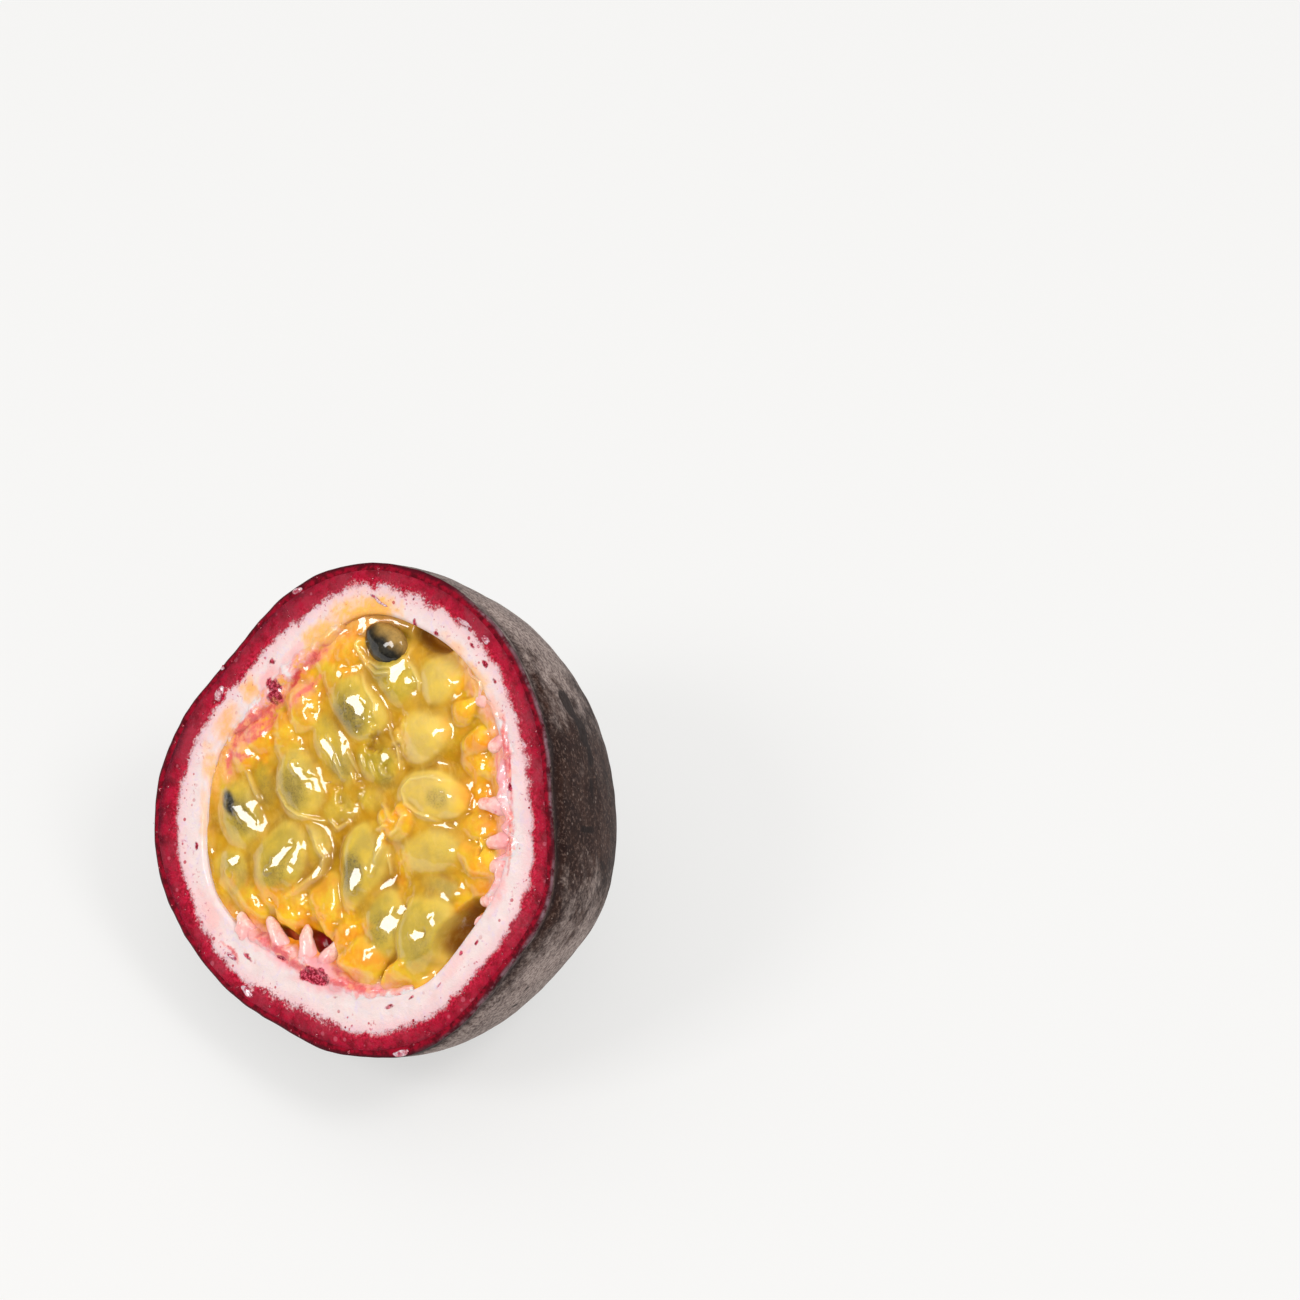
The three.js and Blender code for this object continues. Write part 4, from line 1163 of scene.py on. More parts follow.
# x, y, level, length, width, turn of the root, milk (0 clear to 1 milky), orange of the root
seededSacs = (
    (2.6, 18.9, -3.3, 7.0, 6.2, 145, 0.1, 0.8), (4.2, 14.6, -2.7, 7.8, 6.0, 150, 0.2, 0.2),
    (10.4, 14.4, -2.9, 7.4, 6.6, 40, 0.85, 0.9), (-0.9, 12.2, -2.0, 9.2, 6.0, 122, 0.3, 0.3),
    (-4.2, 7.9, -2.4, 11.2, 5.0, 113, 0.4, 0.6), (1.2, 6.2, -3.0, 8.8, 6.2, 130, 0.1, 0.1),
    (8.3, 8.2, -2.6, 7.4, 6.6, 15, 1.0, 0.9), (9.3, 1.4, -2.2, 9.2, 6.0, 2, 0.95, 1.0),
    (9.6, -4.3, -2.5, 11.0, 6.2, 356, 0.75, 0.9), (-8.6, 3.7, -2.0, 9.4, 6.4, 113, 0.5, 0.4),
    (-13.2, 3.8, -2.8, 8.6, 5.4, 113, 0.1, 0.6), (-16.6, 0.3, -2.2, 9.4, 6.8, 122, 0.35, 0.4),
    (-17.3, -6.3, -2.4, 7.0, 6.0, 282, 0.4, 0.8), (-11.0, -5.3, -1.9, 10.0, 7.2, 243, 0.35, 0.6),
    (0.0, -6.0, -1.9, 10.8, 6.2, 252, 0.5, 0.5), (2.8, -12.8, -2.3, 9.0, 6.2, 255, 0.4, 0.8),
    (8.1, -14.2, -1.8, 11.4, 6.6, 248, 0.4, 0.9), (9.7, -9.0, -3.0, 9.4, 5.0, 356, 0.5, 0.9),
)

# x, y, level, length, width, turn of the root, orange
plainSacs = (
    (-6.8, -3.6, -2.7, 8.0, 4.8, 250, 0.1), (4.8, -1.0, -1.5, 5.6, 4.2, 60, 1.0),
    (1.2, 0.6, -3.2, 7.0, 5.4, 300, 0.15), (-3.6, 1.0, -3.0, 7.4, 5.6, 240, 0.1),
    (13.9, 10.8, -2.0, 4.6, 3.8, 30, 0.8), (16.6, 13.0, -3.0, 4.6, 3.8, 35, 0.7),
    (15.2, 7.6, -1.8, 4.8, 3.6, 18, 1.0), (15.4, 4.8, -2.4, 4.8, 3.4, 10, 0.9),
    (15.4, 1.9, -2.9, 4.8, 3.2, 5, 1.0), (15.2, -1.8, -2.3, 5.0, 3.4, 352, 0.8),
    (15.6, -5.6, -1.9, 5.2, 4.2, 345, 0.9), (15.0, -8.4, -2.5, 5.4, 3.4, 335, 0.8),
    (12.8, -11.4, -3.0, 6.0, 3.6, 330, 0.6), (-5.4, 17.6, -2.6, 6.4, 4.8, 120, 0.9),
    (-2.0, 18.4, -2.3, 6.0, 4.6, 105, 0.9), (-3.2, 14.8, -2.2, 6.4, 4.4, 125, 0.5),
    (-8.2, 11.9, -1.9, 6.8, 4.8, 122, 0.7), (-6.0, 13.6, -2.8, 6.2, 4.4, 122, 0.8),
    (-10.7, 9.0, -2.2, 6.4, 4.6, 120, 0.6), (-14.2, 9.0, -2.2, 6.0, 4.4, 118, 1.0),
    (-11.8, 12.2, -3.2, 5.4, 4.2, 128, 1.0), (-16.8, 7.6, -2.3, 5.4, 4.4, 130, 1.0),
    (-19.6, 4.6, -2.6, 5.0, 4.2, 125, 0.7), (-20.0, -3.0, -3.4, 6.0, 4.4, 100, 0.3),
    (-15.2, -9.4, -2.4, 6.6, 5.0, 250, 0.8), (-9.6, -10.2, -2.5, 6.8, 5.4, 255, 0.9),
    (-4.6, -10.0, -2.3, 7.2, 5.2, 262, 0.8), (-1.8, -14.0, -2.7, 6.8, 5.0, 240, 1.0),
    (-0.4, -16.7, -1.8, 7.6, 5.2, 200, 1.0), (5.0, -18.3, -1.4, 5.2, 4.8, 190, 0.9),
)

# orange that soaks the pulp along its rim: x, y, half length, half width, turn, strength
orangeZones = (
    (-11.0, 11.0, 8.5, 3.4, 45, 0.85), (-2.5, 17.6, 4.0, 2.4, 20, 0.8), (16.0, 2.0, 9.5, 2.6, 92, 0.8),
    (14.6, 12.2, 3.8, 2.4, 130, 0.85), (-10.0, -9.6, 7.0, 2.2, 345, 0.9),
    (-1.5, -14.0, 4.0, 3.2, 300, 0.9), (7.5, -18.6, 4.5, 2.0, 25, 0.7),
    (5.2, -18.2, 2.6, 1.8, 20, 0.95), (-18.4, -7.2, 1.8, 2.6, 110, 0.7),
    (13.6, -9.0, 3.6, 1.8, 60, 0.6), (-19.8, 3.0, 4.6, 1.5, 98, 0.55), (5.2, 8.8, 1.6, 3.2, 10, 0.4),
    (5.4, -6.4, 1.2, 3.0, 0, 0.5), (5.0, -1.2, 2.3, 1.5, 40, 1.0),
)

# seeds seen through the jelly: x, y, half length, half width, turn, darkness (over 1 turns black)
seedShadows = (
    (2.2, 15.2, 2.0, 1.7, 110, 0.45), (-1.3, 10.9, 2.8, 2.1, 122, 0.95),
    (-3.0, 5.2, 3.0, 1.8, 113, 0.5), (3.2, 3.4, 1.6, 1.1, 20, 0.7), (8.1, 7.6, 1.6, 1.5, 0, 0.12),
    (10.6, 1.4, 1.7, 1.4, 0, 0.5), (10.6, -4.4, 2.4, 1.6, 0, 0.15), (-8.9, 3.0, 2.9, 2.2, 113, 0.7),
    (-12.8, 3.0, 2.8, 2.0, 113, 0.6), (-17.9, 1.6, 1.9, 1.08, 125, 2.0),
    (-16.4, 0.2, 2.7, 2.0, 122, 0.75), (-17.2, -6.2, 1.9, 1.6, 282, 0.35),
    (-11.2, -6.2, 2.8, 2.2, 243, 0.55), (-0.9, -6.5, 2.7, 1.9, 258, 1.0),
    (2.9, -13.0, 2.4, 2.0, 255, 0.55), (8.5, -14.8, 2.7, 1.9, 248, 0.35),
    (10.4, -8.8, 2.2, 1.3, 356, 0.3),
)

# gaps that run down beside the sacs: x, y, half length, half width, turn, depth, redness
hollows = (
    (8.5, 19.3, 3.3, 1.4, 335, 3.0, 0.0), (13.2, -13.1, 4.0, 1.8, 48, 3.4, 0.0),
    (-6.4, -14.6, 3.2, 1.4, 335, 3.0, 1.0), (-10.6, -13.4, 1.6, 0.9, 325, 0.9, 0.5),
)

# folds and threads of clear membrane: height, half width, points
membranes = (
    (0.3, 0.2, ((-0.3, 15.8), (0.8, 13.7), (1.9, 12.2), (2.0, 10.4))),
    (0.25, 0.2, ((5.2, 17.4), (6.6, 15.8), (7.4, 14.3), (7.3, 13.2))),
    (0.3, 0.16, ((-0.5, 20.4), (-0.6, 18.8), (0.4, 17.1), (2.2, 16.2), (4.1, 16.1), (5.4, 16.9))),
    (0.4, 0.22, ((-16.0, 5.4), (-15.3, 4.3), (-14.6, 3.1), (-13.6, 1.6))),
    (0.7, 0.42, ((-7.2, -1.0), (-6.3, -1.9), (-5.6, -3.7), (-5.0, -4.8), (-5.6, -6.4), (-6.9, -7.2),
                 (-8.2, -8.1), (-10.4, -9.2))),
    (0.35, 0.2, ((2.5, 1.1), (3.4, 0.2), (4.9, -1.3))),
    (0.5, 0.28, ((4.6, 0.8), (6.4, -0.5), (5.6, -1.9), (4.1, -2.9))),
    (0.35, 0.25, ((2.3, -1.9), (4.1, -1.5))), (0.45, 0.3, ((2.7, -2.8), (3.2, -3.9), (1.9, -6.4))),
    (0.35, 0.18, ((3.7, -4.6), (3.8, -7.0))), (0.25, 0.15, ((-1.9, 7.1), (-0.7, 4.5))),
    (0.25, 0.15, ((-0.3, 6.6), (0.3, 4.8))), (0.25, 0.15, ((0.9, 5.8), (1.5, 4.1))),
    (0.25, 0.15, ((2.2, 5.4), (2.6, 4.2))),
    (0.3, 0.18, ((-11.4, 3.1), (-10.2, 1.1), (-8.4, 0.0), (-5.0, -0.8))),
    (0.35, 0.2, ((-4.6, -0.5), (-3.5, -1.6), (-1.8, -0.8))),
    (0.35, 0.22, ((-4.5, 8.9), (-4.1, 7.8), (-3.4, 6.1), (-2.5, 3.8))),
    (0.25, 0.18, ((5.3, 2.5), (6.6, 3.6), (9.1, 3.8), (12.0, 3.2))),
    (0.25, 0.18, ((5.3, 2.5), (6.2, 0.9), (7.7, -0.2), (10.7, -1.3))),
    (0.25, 0.18, ((3.1, 9.9), (4.0, 7.9), (4.9, 4.9))),
    (0.45, 0.22, ((-0.2, 20.6), (-0.5, 18.6), (0.4, 16.6), (2.0, 15.5), (3.9, 15.5), (5.5, 16.6),
                  (6.0, 18.4))),
)

# places where wet skin lies flat and catches the light: x, y, half length, half width, turn
glints = (
    (4.6, 15.6, 1.4, 0.9, 60), (6.2, 14.4, 0.45, 0.3, 20), (-0.5, 12.1, 1.9, 0.9, 310),
    (-4.4, 7.4, 1.6, 0.5, 298), (-7.9, 4.7, 1.4, 0.6, 315), (-5.8, 3.1, 1.0, 0.35, 300),
    (-15.7, 0.2, 2.0, 0.6, 315), (-17.4, -4.8, 0.9, 0.5, 30), (-18.2, -6.2, 0.8, 0.45, 330),
    (-10.7, -4.7, 2.1, 0.5, 45), (-5.9, -6.1, 1.1, 0.4, 60), (-0.1, -7.2, 1.3, 0.6, 75),
    (2.9, -3.4, 1.2, 0.4, 70), (2.0, -6.2, 0.9, 0.35, 65), (3.9, -12.4, 1.1, 0.8, 10),
    (5.5, -10.8, 0.8, 0.45, 35), (8.0, -13.7, 1.1, 0.7, 20), (10.0, -11.5, 0.9, 0.4, 50),
    (15.1, 14.3, 0.6, 0.35, 20), (16.0, 4.6, 0.6, 0.25, 45), (15.9, -4.0, 0.8, 0.25, 100),
    (-13.2, 9.4, 0.45, 0.35, 0), (-15.4, 7.4, 0.55, 0.4, 330), (-17.6, 7.8, 0.35, 0.3, 0),
    (-6.6, 12.2, 0.8, 0.45, 320), (-1.1, 16.1, 0.45, 0.25, 0), (4.5, -18.8, 0.3, 0.25, 0),
    (5.6, -18.4, 0.25, 0.25, 0), (-3.0, 15.6, 0.6, 0.4, 300), (1.0, -17.4, 0.4, 0.25, 30),
    (10.6, 16.2, 0.5, 0.3, 0), (-12.4, -9.4, 0.28, 0.24, 0), (-9.8, -10.3, 0.26, 0.24, 0),
    (-8.4, -11.0, 0.24, 0.22, 0), (-7.5, -11.0, 0.28, 0.24, 0), (-5.2, -11.6, 0.24, 0.22, 0),
    (-3.6, -12.2, 0.3, 0.24, 0), (-11.6, -10.2, 0.22, 0.2, 0), (-13.4, 9.9, 0.2, 0.2, 0),
)

# places where the jelly lies turned from the light: x, y, half length, half width, turn
calmPlaces = (
    (2.2, 20.0, 2.6, 0.8, 350), (-2.0, 2.3, 1.8, 1.5, 0), (2.7, 8.1, 1.7, 0.9, 20),
    (3.9, 5.0, 1.0, 1.0, 0), (0.6, 9.3, 1.0, 0.7, 20),
)


# A square grid drawn over the cavity's opening so that its cells stay even:
# square ring max(|a|, |b|) becomes the outline at that share of its size.
def openingGrid():
    a, b = np.meshgrid(*[np.linspace(-1, 1, pulp["cells"] + 1)] * 2, indexing="ij")
    share = np.maximum(np.abs(a), np.abs(b))
    wide = np.abs(a) >= np.abs(b)
    over = np.where(wide, a, b)
    ratio = np.where(wide, b, a) / np.where(over == 0, 1, over)
    angle = np.where(wide, np.pi / 4 * ratio, np.pi / 2 - np.pi / 4 * ratio) + np.where(over < 0, np.pi, 0)
    reach = share * (radiusAt(rind["cavityRadii"], angle) - pulp["edgeGap"])
    return reach * np.cos(angle), reach * np.sin(angle), share


# Evens a field out over neighbouring cells with a bell-shaped weight. A cell is about the
# side of a square as large as the opening, sqrt(pi) / 2 of its width, over the cells.
def softened(field, spread):
    cell = 2 * np.mean(rind["cavityRadii"]) * 0.886 / pulp["cells"]
    index = np.arange(len(field))
    weight = np.exp(-0.5 * ((index[:, None] - index[None]) * cell / spread) ** 2)
    weight /= weight.sum(1, keepdims=True)
    return weight @ field @ weight.T


# Height and colour of each sac over the whole grid: level + half thickness (1 - rho^flatness)^0.5
# inside its warped and tapered outline rho = 1, and a steep fall outside it.
def sacFields(x, y, flat):
    tops, milks, oranges, shells = [], [], [], []
    for i, sac in enumerate(seededSacs + plainSacs):
        seeded = i < len(seededSacs)
        kind = pulp["seeded" if seeded else "plain"]
        placeX, placeY, level, length, width, turn = sac[:6]
        length, width = kind["grow"] * length, kind["grow"] * width
        warpX, warpY = (waver(flat, (*kind["warp"], pulp["warpSeed"] + 2 * i + k)) for k in (0, 1))
        along, across = inOval(x + warpX, y + warpY, placeX, placeY, 0.5 * length, 0.5 * width, turn)
        rho = np.hypot(along, across / (1 - pulp["taper"] * np.clip(along, -1, 1)))
        dome = np.sqrt(1 - np.minimum(rho, 1) ** pulp["flatness"])
        half = 0.5 * min(pulp["thickness"], width)
        tops.append(level + half * dome - pulp["flank"] * np.maximum(rho - 1, 0))
        shells.append(kind["shell"] * smoothStep(0.62, 0.86, rho) * smoothStep(1.04, 0.94, rho))
        if seeded:
            milks.append(sac[6] + 0 * x)
            oranges.append(sac[7] * smoothStep(0.45, 1.0, along))
        else:
            milks.append(kind["milk"] + 0 * x)
            oranges.append(sac[6] * (0.65 + 0.35 * smoothStep(-0.5, 0.8, along)))
    return (np.array(part) for part in (tops, milks, oranges, shells))


# The sacs melted together, blend * log(sum(exp(top / blend))), and in the same way with the
# jelly, which is a widely evened copy of them. fill is 1 where the jelly covers the sacs.
def meltedSacs(x, y, flat):
    tops, milks, oranges, shells = sacFields(x, y, flat)
    blend = pulp["blend"]
    highest = tops.max(0)
    melt = np.exp((tops - highest) / blend)
    sacTop = np.maximum(highest + blend * np.log(melt.sum(0)), pulp["floor"])
    melt /= melt.sum(0)
    loose = smoothStep(*pulp["openBelow"], y) * smoothStep(*pulp["openBeyond"], x)
    jelly = softened(np.maximum(sacTop, pulp["jellyFloor"]), pulp["jellySpread"])
    jelly = jelly - pulp["jellyDrop"] - pulp["openDrop"] * loose
    higher = np.maximum(sacTop, jelly)
    height = higher + blend * np.log(np.exp((sacTop - higher) / blend) + np.exp((jelly - higher) / blend))
    fill = 1 / (1 + np.exp(np.clip((sacTop - jelly) / pulp["jellyEdge"], -30, 30)))
    milk, orange, shell = ((melt * part).sum(0) for part in (milks, oranges, shells))
    orange = orange * (1 - fill) + 0.6 * softened(orange, 1.0) * fill
    return height, {"milk": milk, "orange": orange, "shell": shell * (1 - 0.6 * fill), "fill": fill}


# Adds the orange zones to the masks and grains to their height.
def orangeRim(x, y, flat, height, masks):
    drift = waver(flat, *pulp["orangeEdges"])
    grainy = np.zeros(x.shape)
    for *oval, strength in orangeZones:
        rho = ovalDistance(x, y, oval) + drift
        grainy = np.maximum(grainy, smoothStep(1.2, 0.6, rho))
        soaked = strength * smoothStep(1.2, 0.3, rho) * (0.6 + 0.4 * masks["fill"])
        masks["orange"] = np.maximum(masks["orange"], soaked)
    return height + grainy * waver(flat, pulp["grains"])


# Sinks the hollows between the sacs.
def sinkHollows(x, y, height, masks):
    hollow, redHollow = np.zeros(x.shape), np.zeros(x.shape)
    for *oval, depth, red in hollows:
        dip = smoothStep(1.15, 0.6, ovalDistance(x, y, oval))
        height = height - depth * dip
        hollow = np.maximum(hollow, dip)
        redHollow = np.maximum(redHollow, red * dip)
    masks.update(hollow=hollow, redHollow=redHollow)
    return height


# Raises each membrane as a ridge, height * exp(-(gap / half width)^2), that tapers at its ends.
def addMembranes(x, y, height, masks):
    thread = np.zeros(x.shape)
    for rise, halfWidth, line in membranes:
        gap, place = toLine(x, y, line)
        ridge = bell(gap, halfWidth) * np.sqrt(np.clip(4 * place * (1 - place), 0.02, 1))
        height = height + rise * ridge
        thread = np.maximum(thread, ridge)
    # the thread mask later lays a pale colour on these ridges, partly painted highlight
    masks["thread"] = thread
    return height


# Lays the height inside a soft oval into a plane that falls by the given slopes.
def layFlat(height, x, y, oval, slopes, ragged):
    placeX, placeY = oval[:2]
    middle = np.unravel_index(np.argmin((x - placeX) ** 2 + (y - placeY) ** 2), x.shape)
    plane = height[middle] + slopes[0] * (x - placeX) + slopes[1] * (y - placeY)
    weight = smoothStep(1.35, 0.8, ovalDistance(x, y, oval) + ragged)
    return height + (plane - height) * weight * (np.abs(plane - height) < pulp["flatReach"]), weight


def layWetPlaces(x, y, flat, height, masks):
    ragged = waver(flat, *pulp["flatEdges"])
    glint = np.zeros(x.shape)
    for oval in calmPlaces:
        height, _ = layFlat(height, x, y, oval, pulp["calmSlope"], ragged)
    for oval in glints:
        height, weight = layFlat(height, x, y, oval, pulp["glintSlope"], ragged)
        glint = np.maximum(glint, weight)
    masks["glint"] = glint
    return height


# Dark cores where a seed shows through the jelly, black where it lies bare.
def shadeSeeds(x, y, flat, masks):
    wander = waver(flat, pulp["shadowEdges"])
    core, black = np.zeros(x.shape), np.zeros(x.shape)
    for *oval, dark in seedShadows:
        rho = ovalDistance(x, y, oval) + wander
        core = np.maximum(core, min(dark, 1) * smoothStep(1.2, 0.35, rho))
        black = np.maximum(black, max(dark - 1, 0) * smoothStep(1.2, 0.5, rho))
    masks.update(core=core * (1 - 0.6 * masks["fill"]), black=black)


# The face of the pulp, worked out step by step as a height over the cut and the masks that colour it.
def pulpFace():
    x, y, share = openingGrid()
    flat = np.stack([x, y, 0 * x], -1)
    height, masks = meltedSacs(x, y, flat)
    height = orangeRim(x, y, flat, height, masks)
    height = sinkHollows(x, y, height, masks)
    height = height + waver(flat, pulp["lumps"], pulp["wrinkles"])
    height = addMembranes(x, y, height, masks)
    height = layWetPlaces(x, y, flat, height, masks)
    shadeSeeds(x, y, flat, masks)
    angle = np.arctan2(y, x)
    rim = radiusAt(pulp["edgeLevels"], angle) + waver(flat, pulp["edgeLumps"])
    height = height + (rim - height) * smoothStep(0.85, 0.97, share) * (1 - masks["hollow"])
    pinkShare = share + waver(flat, *pulp["pinkEdges"])
    masks["pink"] = np.clip(radiusAt(pulp["edgePink"], angle), 0, 1) * smoothStep(0.86, 0.98, pinkShare)
    # painted shade: darker the deeper a point lies below its evened surroundings
    spread, depth = pulp["valleyShade"]
    masks["valleyShade"] = np.clip((softened(height, spread) - height) / depth, 0, 1)
    nearEdge = smoothStep(0.7, 0.84, share)
    masks.update({key: mark * nearEdge for key, mark in faceMarks(flat).items()})
    return np.stack([x, y, np.maximum(height, pulp["lowest"])], -1), masks


# The pulp's face closed underneath by rings that follow the cavity's wall down to a pole.
def makePulp():
    face, masks = pulpFace()
    side = pulp["cells"] + 1
    number = np.arange(side * side).reshape(side, side)
    quads = np.stack([number[:-1, :-1], number[1:, :-1], number[1:, 1:], number[:-1, 1:]], -1).reshape(-1, 4)
    loop = np.concatenate([number[:-1, 0], number[-1, :-1], number[:0:-1, -1], number[0, :0:-1]])
    points = face.reshape(-1, 3)
    angle = np.arctan2(points[loop, 1], points[loop, 0])[None]
    falls = np.radians(pulp["underFalls"])[:, None]
    under = wallPoints(rind["cavityRadii"], rind["cavityDepth"], pulp["underGap"], angle, falls)
    rings = np.concatenate([loop[None], len(points) + np.arange(under[..., 0].size).reshape(under.shape[:2])])
    ahead = np.roll(rings, -1, 1)
    wall = np.stack([ahead[:-1], rings[:-1], rings[1:], ahead[1:]], -1).reshape(-1, 4)
    pole = len(points) + under[..., 0].size
    fan = np.stack([ahead[-1], rings[-1], 0 * rings[-1] + pole], -1)
    poleAt = [[0, 0, pulp["underGap"] - rind["cavityDepth"]]]
    everyPoint = np.concatenate([points, under.reshape(-1, 3), poleAt])
    hidden = np.full(len(everyPoint) - len(points), 0.5)
    values = {key: np.concatenate([mask.ravel(), hidden]) for key, mask in masks.items()}
    return makePiece("pulpMass", [(everyPoint, [quads, wall, fan])], values)


# Clear to milky jelly, amber in the clefts, painted shade darkening the valleys, orange at the roots,
# over it the seeds' shadows, hollows, soft pink tissue, marks, threads partly painted as highlights, and
# fibres.
def pulpFinish():
    material, shade, surface = newMaterial("pulpFinish", pulp["surface"])
    mask = {key: shade.attribute(key) for key in
            ("milk", "orange", "shell", "core", "black", "fill", "hollow", "redHollow", "thread", "valleyShade",
             "pink", "glint")}
    cloud, broad = shade.patches(0.35, 0.68, 2.6, 4.0, 0.6), shade.patches(0.38, 0.64, 4.5, 3.0, 0.6)
    grain = shade.noise(0.5, 3.0, 0.6)
    fibres = shade.patches(0.48, 0.72, 1.2, 4.0, 0.7, (1.0, 0.2, 1.0))
    clear, milky = shade.mix(cloud, *pulp["clearJelly"]), shade.mix(cloud, *pulp["milkyJelly"])
    colour = shade.mix(mask["milk"], clear, milky)
    amber = shade.over(shade.mix(cloud, *pulp["amber"]), pulp["brightAmber"], broad, 0.6)
    colour = shade.mix(mask["fill"], colour, amber)
    colour = shade.over(colour, pulp["shell"], mask["shell"], 0.5)
    stipple = shade.times(shade.patches(0.5, 0.62, 0.22, 2.0, 0.6), 0.4)
    veil = shade.plus(shade.scaled(grain, 0.5, 0.5), stipple)
    colour = shade.over(colour, pulp["core"], mask["core"], veil)
    deepOrange = shade.mix(shade.patches(0.35, 0.7, 2.4, 3.0, 0.55), *pulp["orange"])
    colour = shade.mix(mask["orange"], colour, deepOrange)
    # painted shade in the valleys between the sacs
    colour = shade.over(colour, pulp["valleyShadeAmber"], mask["valleyShade"], 0.75)
    colour = shade.mix(mask["hollow"], colour, shade.mix(mask["redHollow"], *pulp["hollow"]))
    pinkTissue = shade.mix(shade.patches(0.4, 0.62, 0.9, 4.0, 0.65), *pulp["pinkTissue"])
    colour = shade.mix(mask["pink"], colour, pinkTissue)
    colour = shade.useGroup(markedFlesh, Ground=colour, Strength=0.8)["Color"]
    colour = shade.mix(mask["black"], colour, shade.mix(shade.ramp(grain, 0.4, 0.6), *pulp["black"]))
    # pale threads on the membrane ridges: partly their own colour, partly painted highlight
    colour = shade.over(colour, pulp["thread"], mask["thread"], 0.35)
    colour = shade.over(colour, pulp["fibre"], fibres, 0.2)
    shade.wire(colour, surface.inputs["Base Color"])
    fold = shade.plus(shade.noise(1.1, 2.0, 0.5), shade.times(grain, 0.2))
    fold = shade.plus(fold, shade.times(fibres, 0.25))
    fold = shade.times(fold, shade.scaled(mask["glint"], -0.6, 1.0))
    shade.wire(shade.bump(fold, 0.3, 0.12), surface.inputs["Normal"])
    return material


dressAs(makePulp(), pulpFinish(), "pulp", "pulp")
print("pulp made")


seeds = {
    "length": 5.4,
    "width": 4.0,
    "thickness": 2.6,
    "along": 36,
    "around": 40,
    "point": 0.12,                   # how much narrower the seed is at its root
    "pit": (0.07, 0.6),
    "pitSeed": 700,
    "shrink": 0.1,
    "cover": 0.8,                    # mm of jelly over a veiled seed
    "bareLift": 0.9,                 # mm that the bare seed stands out of its sac
    "bareSize": 1.16,
    "clearSide": (0.62, 0.78),       # direction across and up the cut of the bare seed's clear side
    "clearEnd": 1.9,
    "clearEdge": (0.5, 0.8, 790),
    "surface": {"Roughness": 0.5, "Specular IOR Level": 0.1, "Coat Weight": 1.0, "Coat Roughness": 0.03},
    "black": (tint(20, 18, 15), tint(46, 42, 32)),
    "clearBrown": tint(186, 146, 74),
    "pitPale": tint(110, 98, 74),
}


# A pitted lens: an ellipsoid drawn to a blunt point at its root, dimpled all over.
def seedGrid(x, y, front, turn, seed, size):
    a = np.linspace(np.pi, 0, seeds["along"])[:, None]
    b = np.linspace(0, 2 * np.pi, seeds["around"], endpoint=False)[None]
    section = np.sin(a) * (1 - seeds["point"] * np.cos(a))
    points = np.stack([0.5 * seeds["length"] * np.cos(a) + 0 * b, 0.5 * seeds["width"] * section * np.cos(b),
                       0.5 * seeds["thickness"] * section * np.sin(b)], -1)
    out = points / np.maximum(np.linalg.norm(points, axis=-1, keepdims=True), 1e-6)
    points = points + out * (waver(points, (*seeds["pit"], seed)) - seeds["shrink"])[..., None]
    t = math.radians(turn)
    rotation = np.array([[math.cos(t), math.sin(t), 0], [-math.sin(t), math.cos(t), 0], [0, 0, 1]])
    return size * points @ rotation + np.array([x, y, front - 0.5 * seeds["thickness"]])


# A seed under the top of each seeded sac; the first stands bare and is clear on one side.
def makeSeeds():
    grids, clear = [], []
    for i, (x, y, level, _, width, turn, *_) in enumerate(seededSacs):
        bare = i == 0
        front = level + 0.5 * min(pulp["thickness"], width) + (seeds["bareLift"] if bare else -seeds["cover"])
        points = seedGrid(x, y, front, turn, seeds["pitSeed"] + i, seeds["bareSize"] if bare else 1.0)
        grids.append(closedGrid(points))
        side = (points[..., :2] - [x, y]) @ seeds["clearSide"]
        side = side + waver(points, seeds["clearEdge"])
        clear.append(gridValues(bare * smoothStep(0.0, seeds["clearEnd"], side)))
    return makePiece("seeds", grids, {"clear": np.concatenate(clear)})


def seedFinish():
    material, shade, surface = newMaterial("seedFinish", seeds["surface"])
    pits = shade.noise(0.3, 3.0, 0.6)
    colour = shade.mix(shade.patches(0.4, 0.65, 1.1, 4.0, 0.6), *seeds["black"])
    colour = shade.over(colour, seeds["clearBrown"], shade.attribute("clear"), shade.scaled(pits, 0.8, 0.4))
    colour = shade.over(colour, seeds["pitPale"], shade.ramp(pits, 0.56, 0.7), 0.2)
    shade.wire(colour, surface.inputs["Base Color"])
    shade.wire(shade.bump(pits, 0.3, 0.12), surface.inputs["Normal"])
    return material


dressAs(makeSeeds(), seedFinish(), "seed", *[f"seed_{i + 1:02d}" for i in range(len(seededSacs))])
print("seeds made")


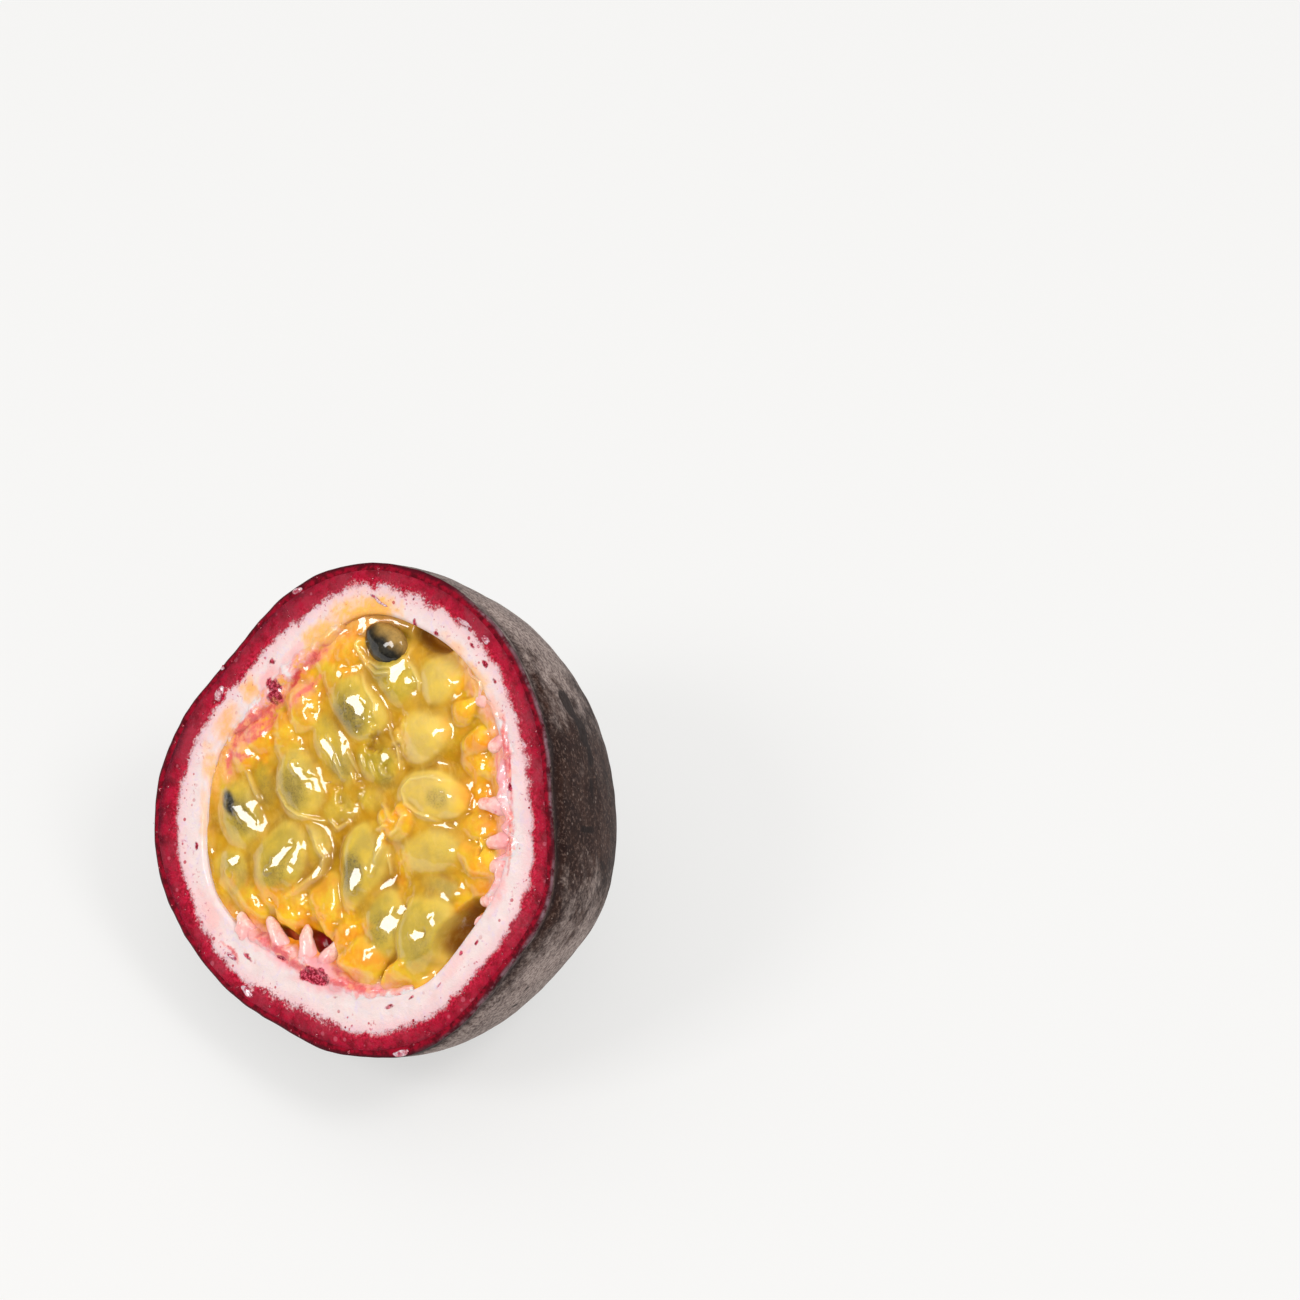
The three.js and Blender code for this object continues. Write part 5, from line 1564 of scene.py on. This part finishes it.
wetBits = {
    "seed": 5,
    "droplets": 170,
    "dropletSize": (0.06, 0.17),     # mm radius
    "dropletReach": (-0.1, 0.93),    # shares of the way from the pith's edge to the skin
    "dropletShape": (1.0, 0.85, 0.7),
    "dropletRows": (9, 12),
    "dropletSeed": 300,
    "shredRows": (24, 32),
    "shredSeed": 500,
    "shredLumps": (0.08, 0.6),
    "uneven": (0.3, 0.5),
    # soft shreds left by the knife: x, y, half length, half width, turn, rise
    "shreds": (
        (-8.7, 25.3, 0.7, 0.4, 20, 0.2), (-19.6, 14.1, 0.95, 0.6, 60, 0.35),
        (-15.4, -19.6, 0.9, 0.4, 320, 0.22), (5.6, -26.6, 1.1, 0.35, 10, 0.15),
        (13.9, 20.6, 1.2, 0.25, 325, 0.2), (16.8, 18.6, 0.7, 0.35, 310, 0.3),
        (-17.6, -15.6, 0.8, 0.3, 330, 0.2), (2.4, 23.6, 1.4, 0.2, 325, 0.2),
        (-19.2, 17.0, 0.35, 0.25, 50, 0.2),
    ),
    "surface": {"Roughness": 0.12, "Specular IOR Level": 0.6, "Coat Weight": 1.0, "Coat Roughness": 0.02,
                "Subsurface Weight": 0.4, "Subsurface Radius": (1.0, 0.4, 0.3), "Subsurface Scale": 0.001},
    "droplet": tint(150, 22, 46),
    "shred": (tint(170, 60, 84), tint(218, 182, 190)),
}


# A flattened bead on the cut: half length, half width and rise round its middle, times noise.
def beadGrid(x, y, halfLong, halfWide, turn, rise, seed, rows):
    steps, sides = rows
    a = np.linspace(np.pi, 0, steps)[:, None]
    b = np.linspace(0, 2 * np.pi, sides, endpoint=False)[None]
    t = math.radians(turn)
    long, wide = halfLong * np.sin(a) * np.cos(b), halfWide * np.sin(a) * np.sin(b)
    points = np.stack([long * math.cos(t) - wide * math.sin(t), long * math.sin(t) + wide * math.cos(t),
                       rise * np.cos(a) + 0 * b], -1)
    uneven = waver(points + 7.0 * seed, (*wetBits["uneven"], seed % 97))
    return points * (1 + uneven)[..., None] + np.array([x, y, faceLift(np.array([x, y, 0.0]))])


# Droplets strewn over the red band and the shreds; the value soft is 1 on the shreds.
def makeWetBits():
    random = np.random.default_rng(wetBits["seed"])
    count = wetBits["droplets"]
    angle = random.uniform(0, 2 * np.pi, count)
    inner, outer = radiusAt(rind["pithRadii"], angle), radiusAt(rind["skinRadii"], angle)
    reach = inner + (outer - inner) * random.uniform(*wetBits["dropletReach"], count)
    sizes = random.uniform(*wetBits["dropletSize"], count)
    beads = []
    for i in range(count):
        halfLong, halfWide, rise = (share * sizes[i] for share in wetBits["dropletShape"])
        x, y = reach[i] * np.cos(angle[i]), reach[i] * np.sin(angle[i])
        beads.append(beadGrid(x, y, halfLong, halfWide, math.degrees(angle[i]), rise,
                              wetBits["dropletSeed"] + i, wetBits["dropletRows"]))
    for i, shred in enumerate(wetBits["shreds"]):
        bead = beadGrid(*shred, wetBits["shredSeed"] + i, wetBits["shredRows"])
        lumps = waver(bead, (*wetBits["shredLumps"], wetBits["shredSeed"] + 20 + i))
        beads.append(bead + lumps[..., None] * np.array([1, 1, 1.4]))
    soft = [gridValues(np.full(bead.shape[:2], float(i >= count))) for i, bead in enumerate(beads)]
    return makePiece("wetBits", [closedGrid(bead) for bead in beads], {"soft": np.concatenate(soft)})


def wetFinish():
    material, shade, surface = newMaterial("wetFinish", wetBits["surface"])
    shred = shade.mix(shade.patches(0.4, 0.62, 0.6, 3.0, 0.6), *wetBits["shred"])
    shade.wire(shade.mix(shade.attribute("soft"), wetBits["droplet"], shred), surface.inputs["Base Color"])
    shade.wire(shade.bump(shade.noise(0.4, 3.0, 0.6), 0.4, 0.1), surface.inputs["Normal"])
    return material


dressAs(makeWetBits(), wetFinish(), "red_rind")
print("droplets and shreds made")


stem = {
    "sides": 48,
    "rings": 60,
    "sunk": 0.35,                    # mm that the pad sits inside the tip's dent
    # radius and height of the calyx pad, the waisted stalk and its dished end
    "profile": ((0.0, 0.0), (1.6, 0.0), (2.2, 0.05), (2.3, 0.25), (2.1, 0.5), (1.6, 0.7), (1.25, 1.0),
                (1.08, 1.5), (1.02, 1.9), (1.12, 2.3), (1.2, 2.55), (1.05, 2.6), (0.5, 2.45), (0.0, 2.4)),
    "ribs": ((0.06, 5, 1.0), (0.03, 13, 0.0)),    # depth, number round the stalk, turn in radians
    "rough": (0.07, 0.6, 33),
    "surface": {"Roughness": 0.7},
    "olive": (tint(128, 122, 60), tint(84, 66, 42)),
}


# A calyx pad and a dry stalk: a ribbed profile of radii and heights turned on the fruit's own axis.
def makeStemEnd():
    radii, heights = np.array(stem["profile"]).T
    t = np.linspace(0, len(radii) - 1, stem["rings"])[:, None]
    radius, height = (np.interp(t, np.arange(len(radii)), values) for values in (radii, heights))
    angle = np.linspace(0, 2 * np.pi, stem["sides"], endpoint=False)[None]
    ribs = 1 + sum(depth * np.cos(count * angle + turn) for depth, count, turn in stem["ribs"])
    rings = np.stack([radius * ribs * np.cos(angle), radius * ribs * np.sin(angle),
                      -rind["depth"] + stem["sunk"] - height + 0 * angle], -1)
    rings[..., :2] *= (1 + waver(rings, stem["rough"]))[..., None]
    return makePiece("stemEnd", [closedGrid(rings)])


def stemFinish():
    material, shade, surface = newMaterial("stemFinish", stem["surface"])
    colour = shade.mix(shade.patches(0.4, 0.65, 0.8, 4.0, 0.6), *stem["olive"])
    shade.wire(colour, surface.inputs["Base Color"])
    shade.wire(shade.bump(shade.noise(0.4, 3.0, 0.6), 0.5, 0.15), surface.inputs["Normal"])
    return material


dressAs(makeStemEnd(), stemFinish(), "stem", "stem_end")
print("stem end made")
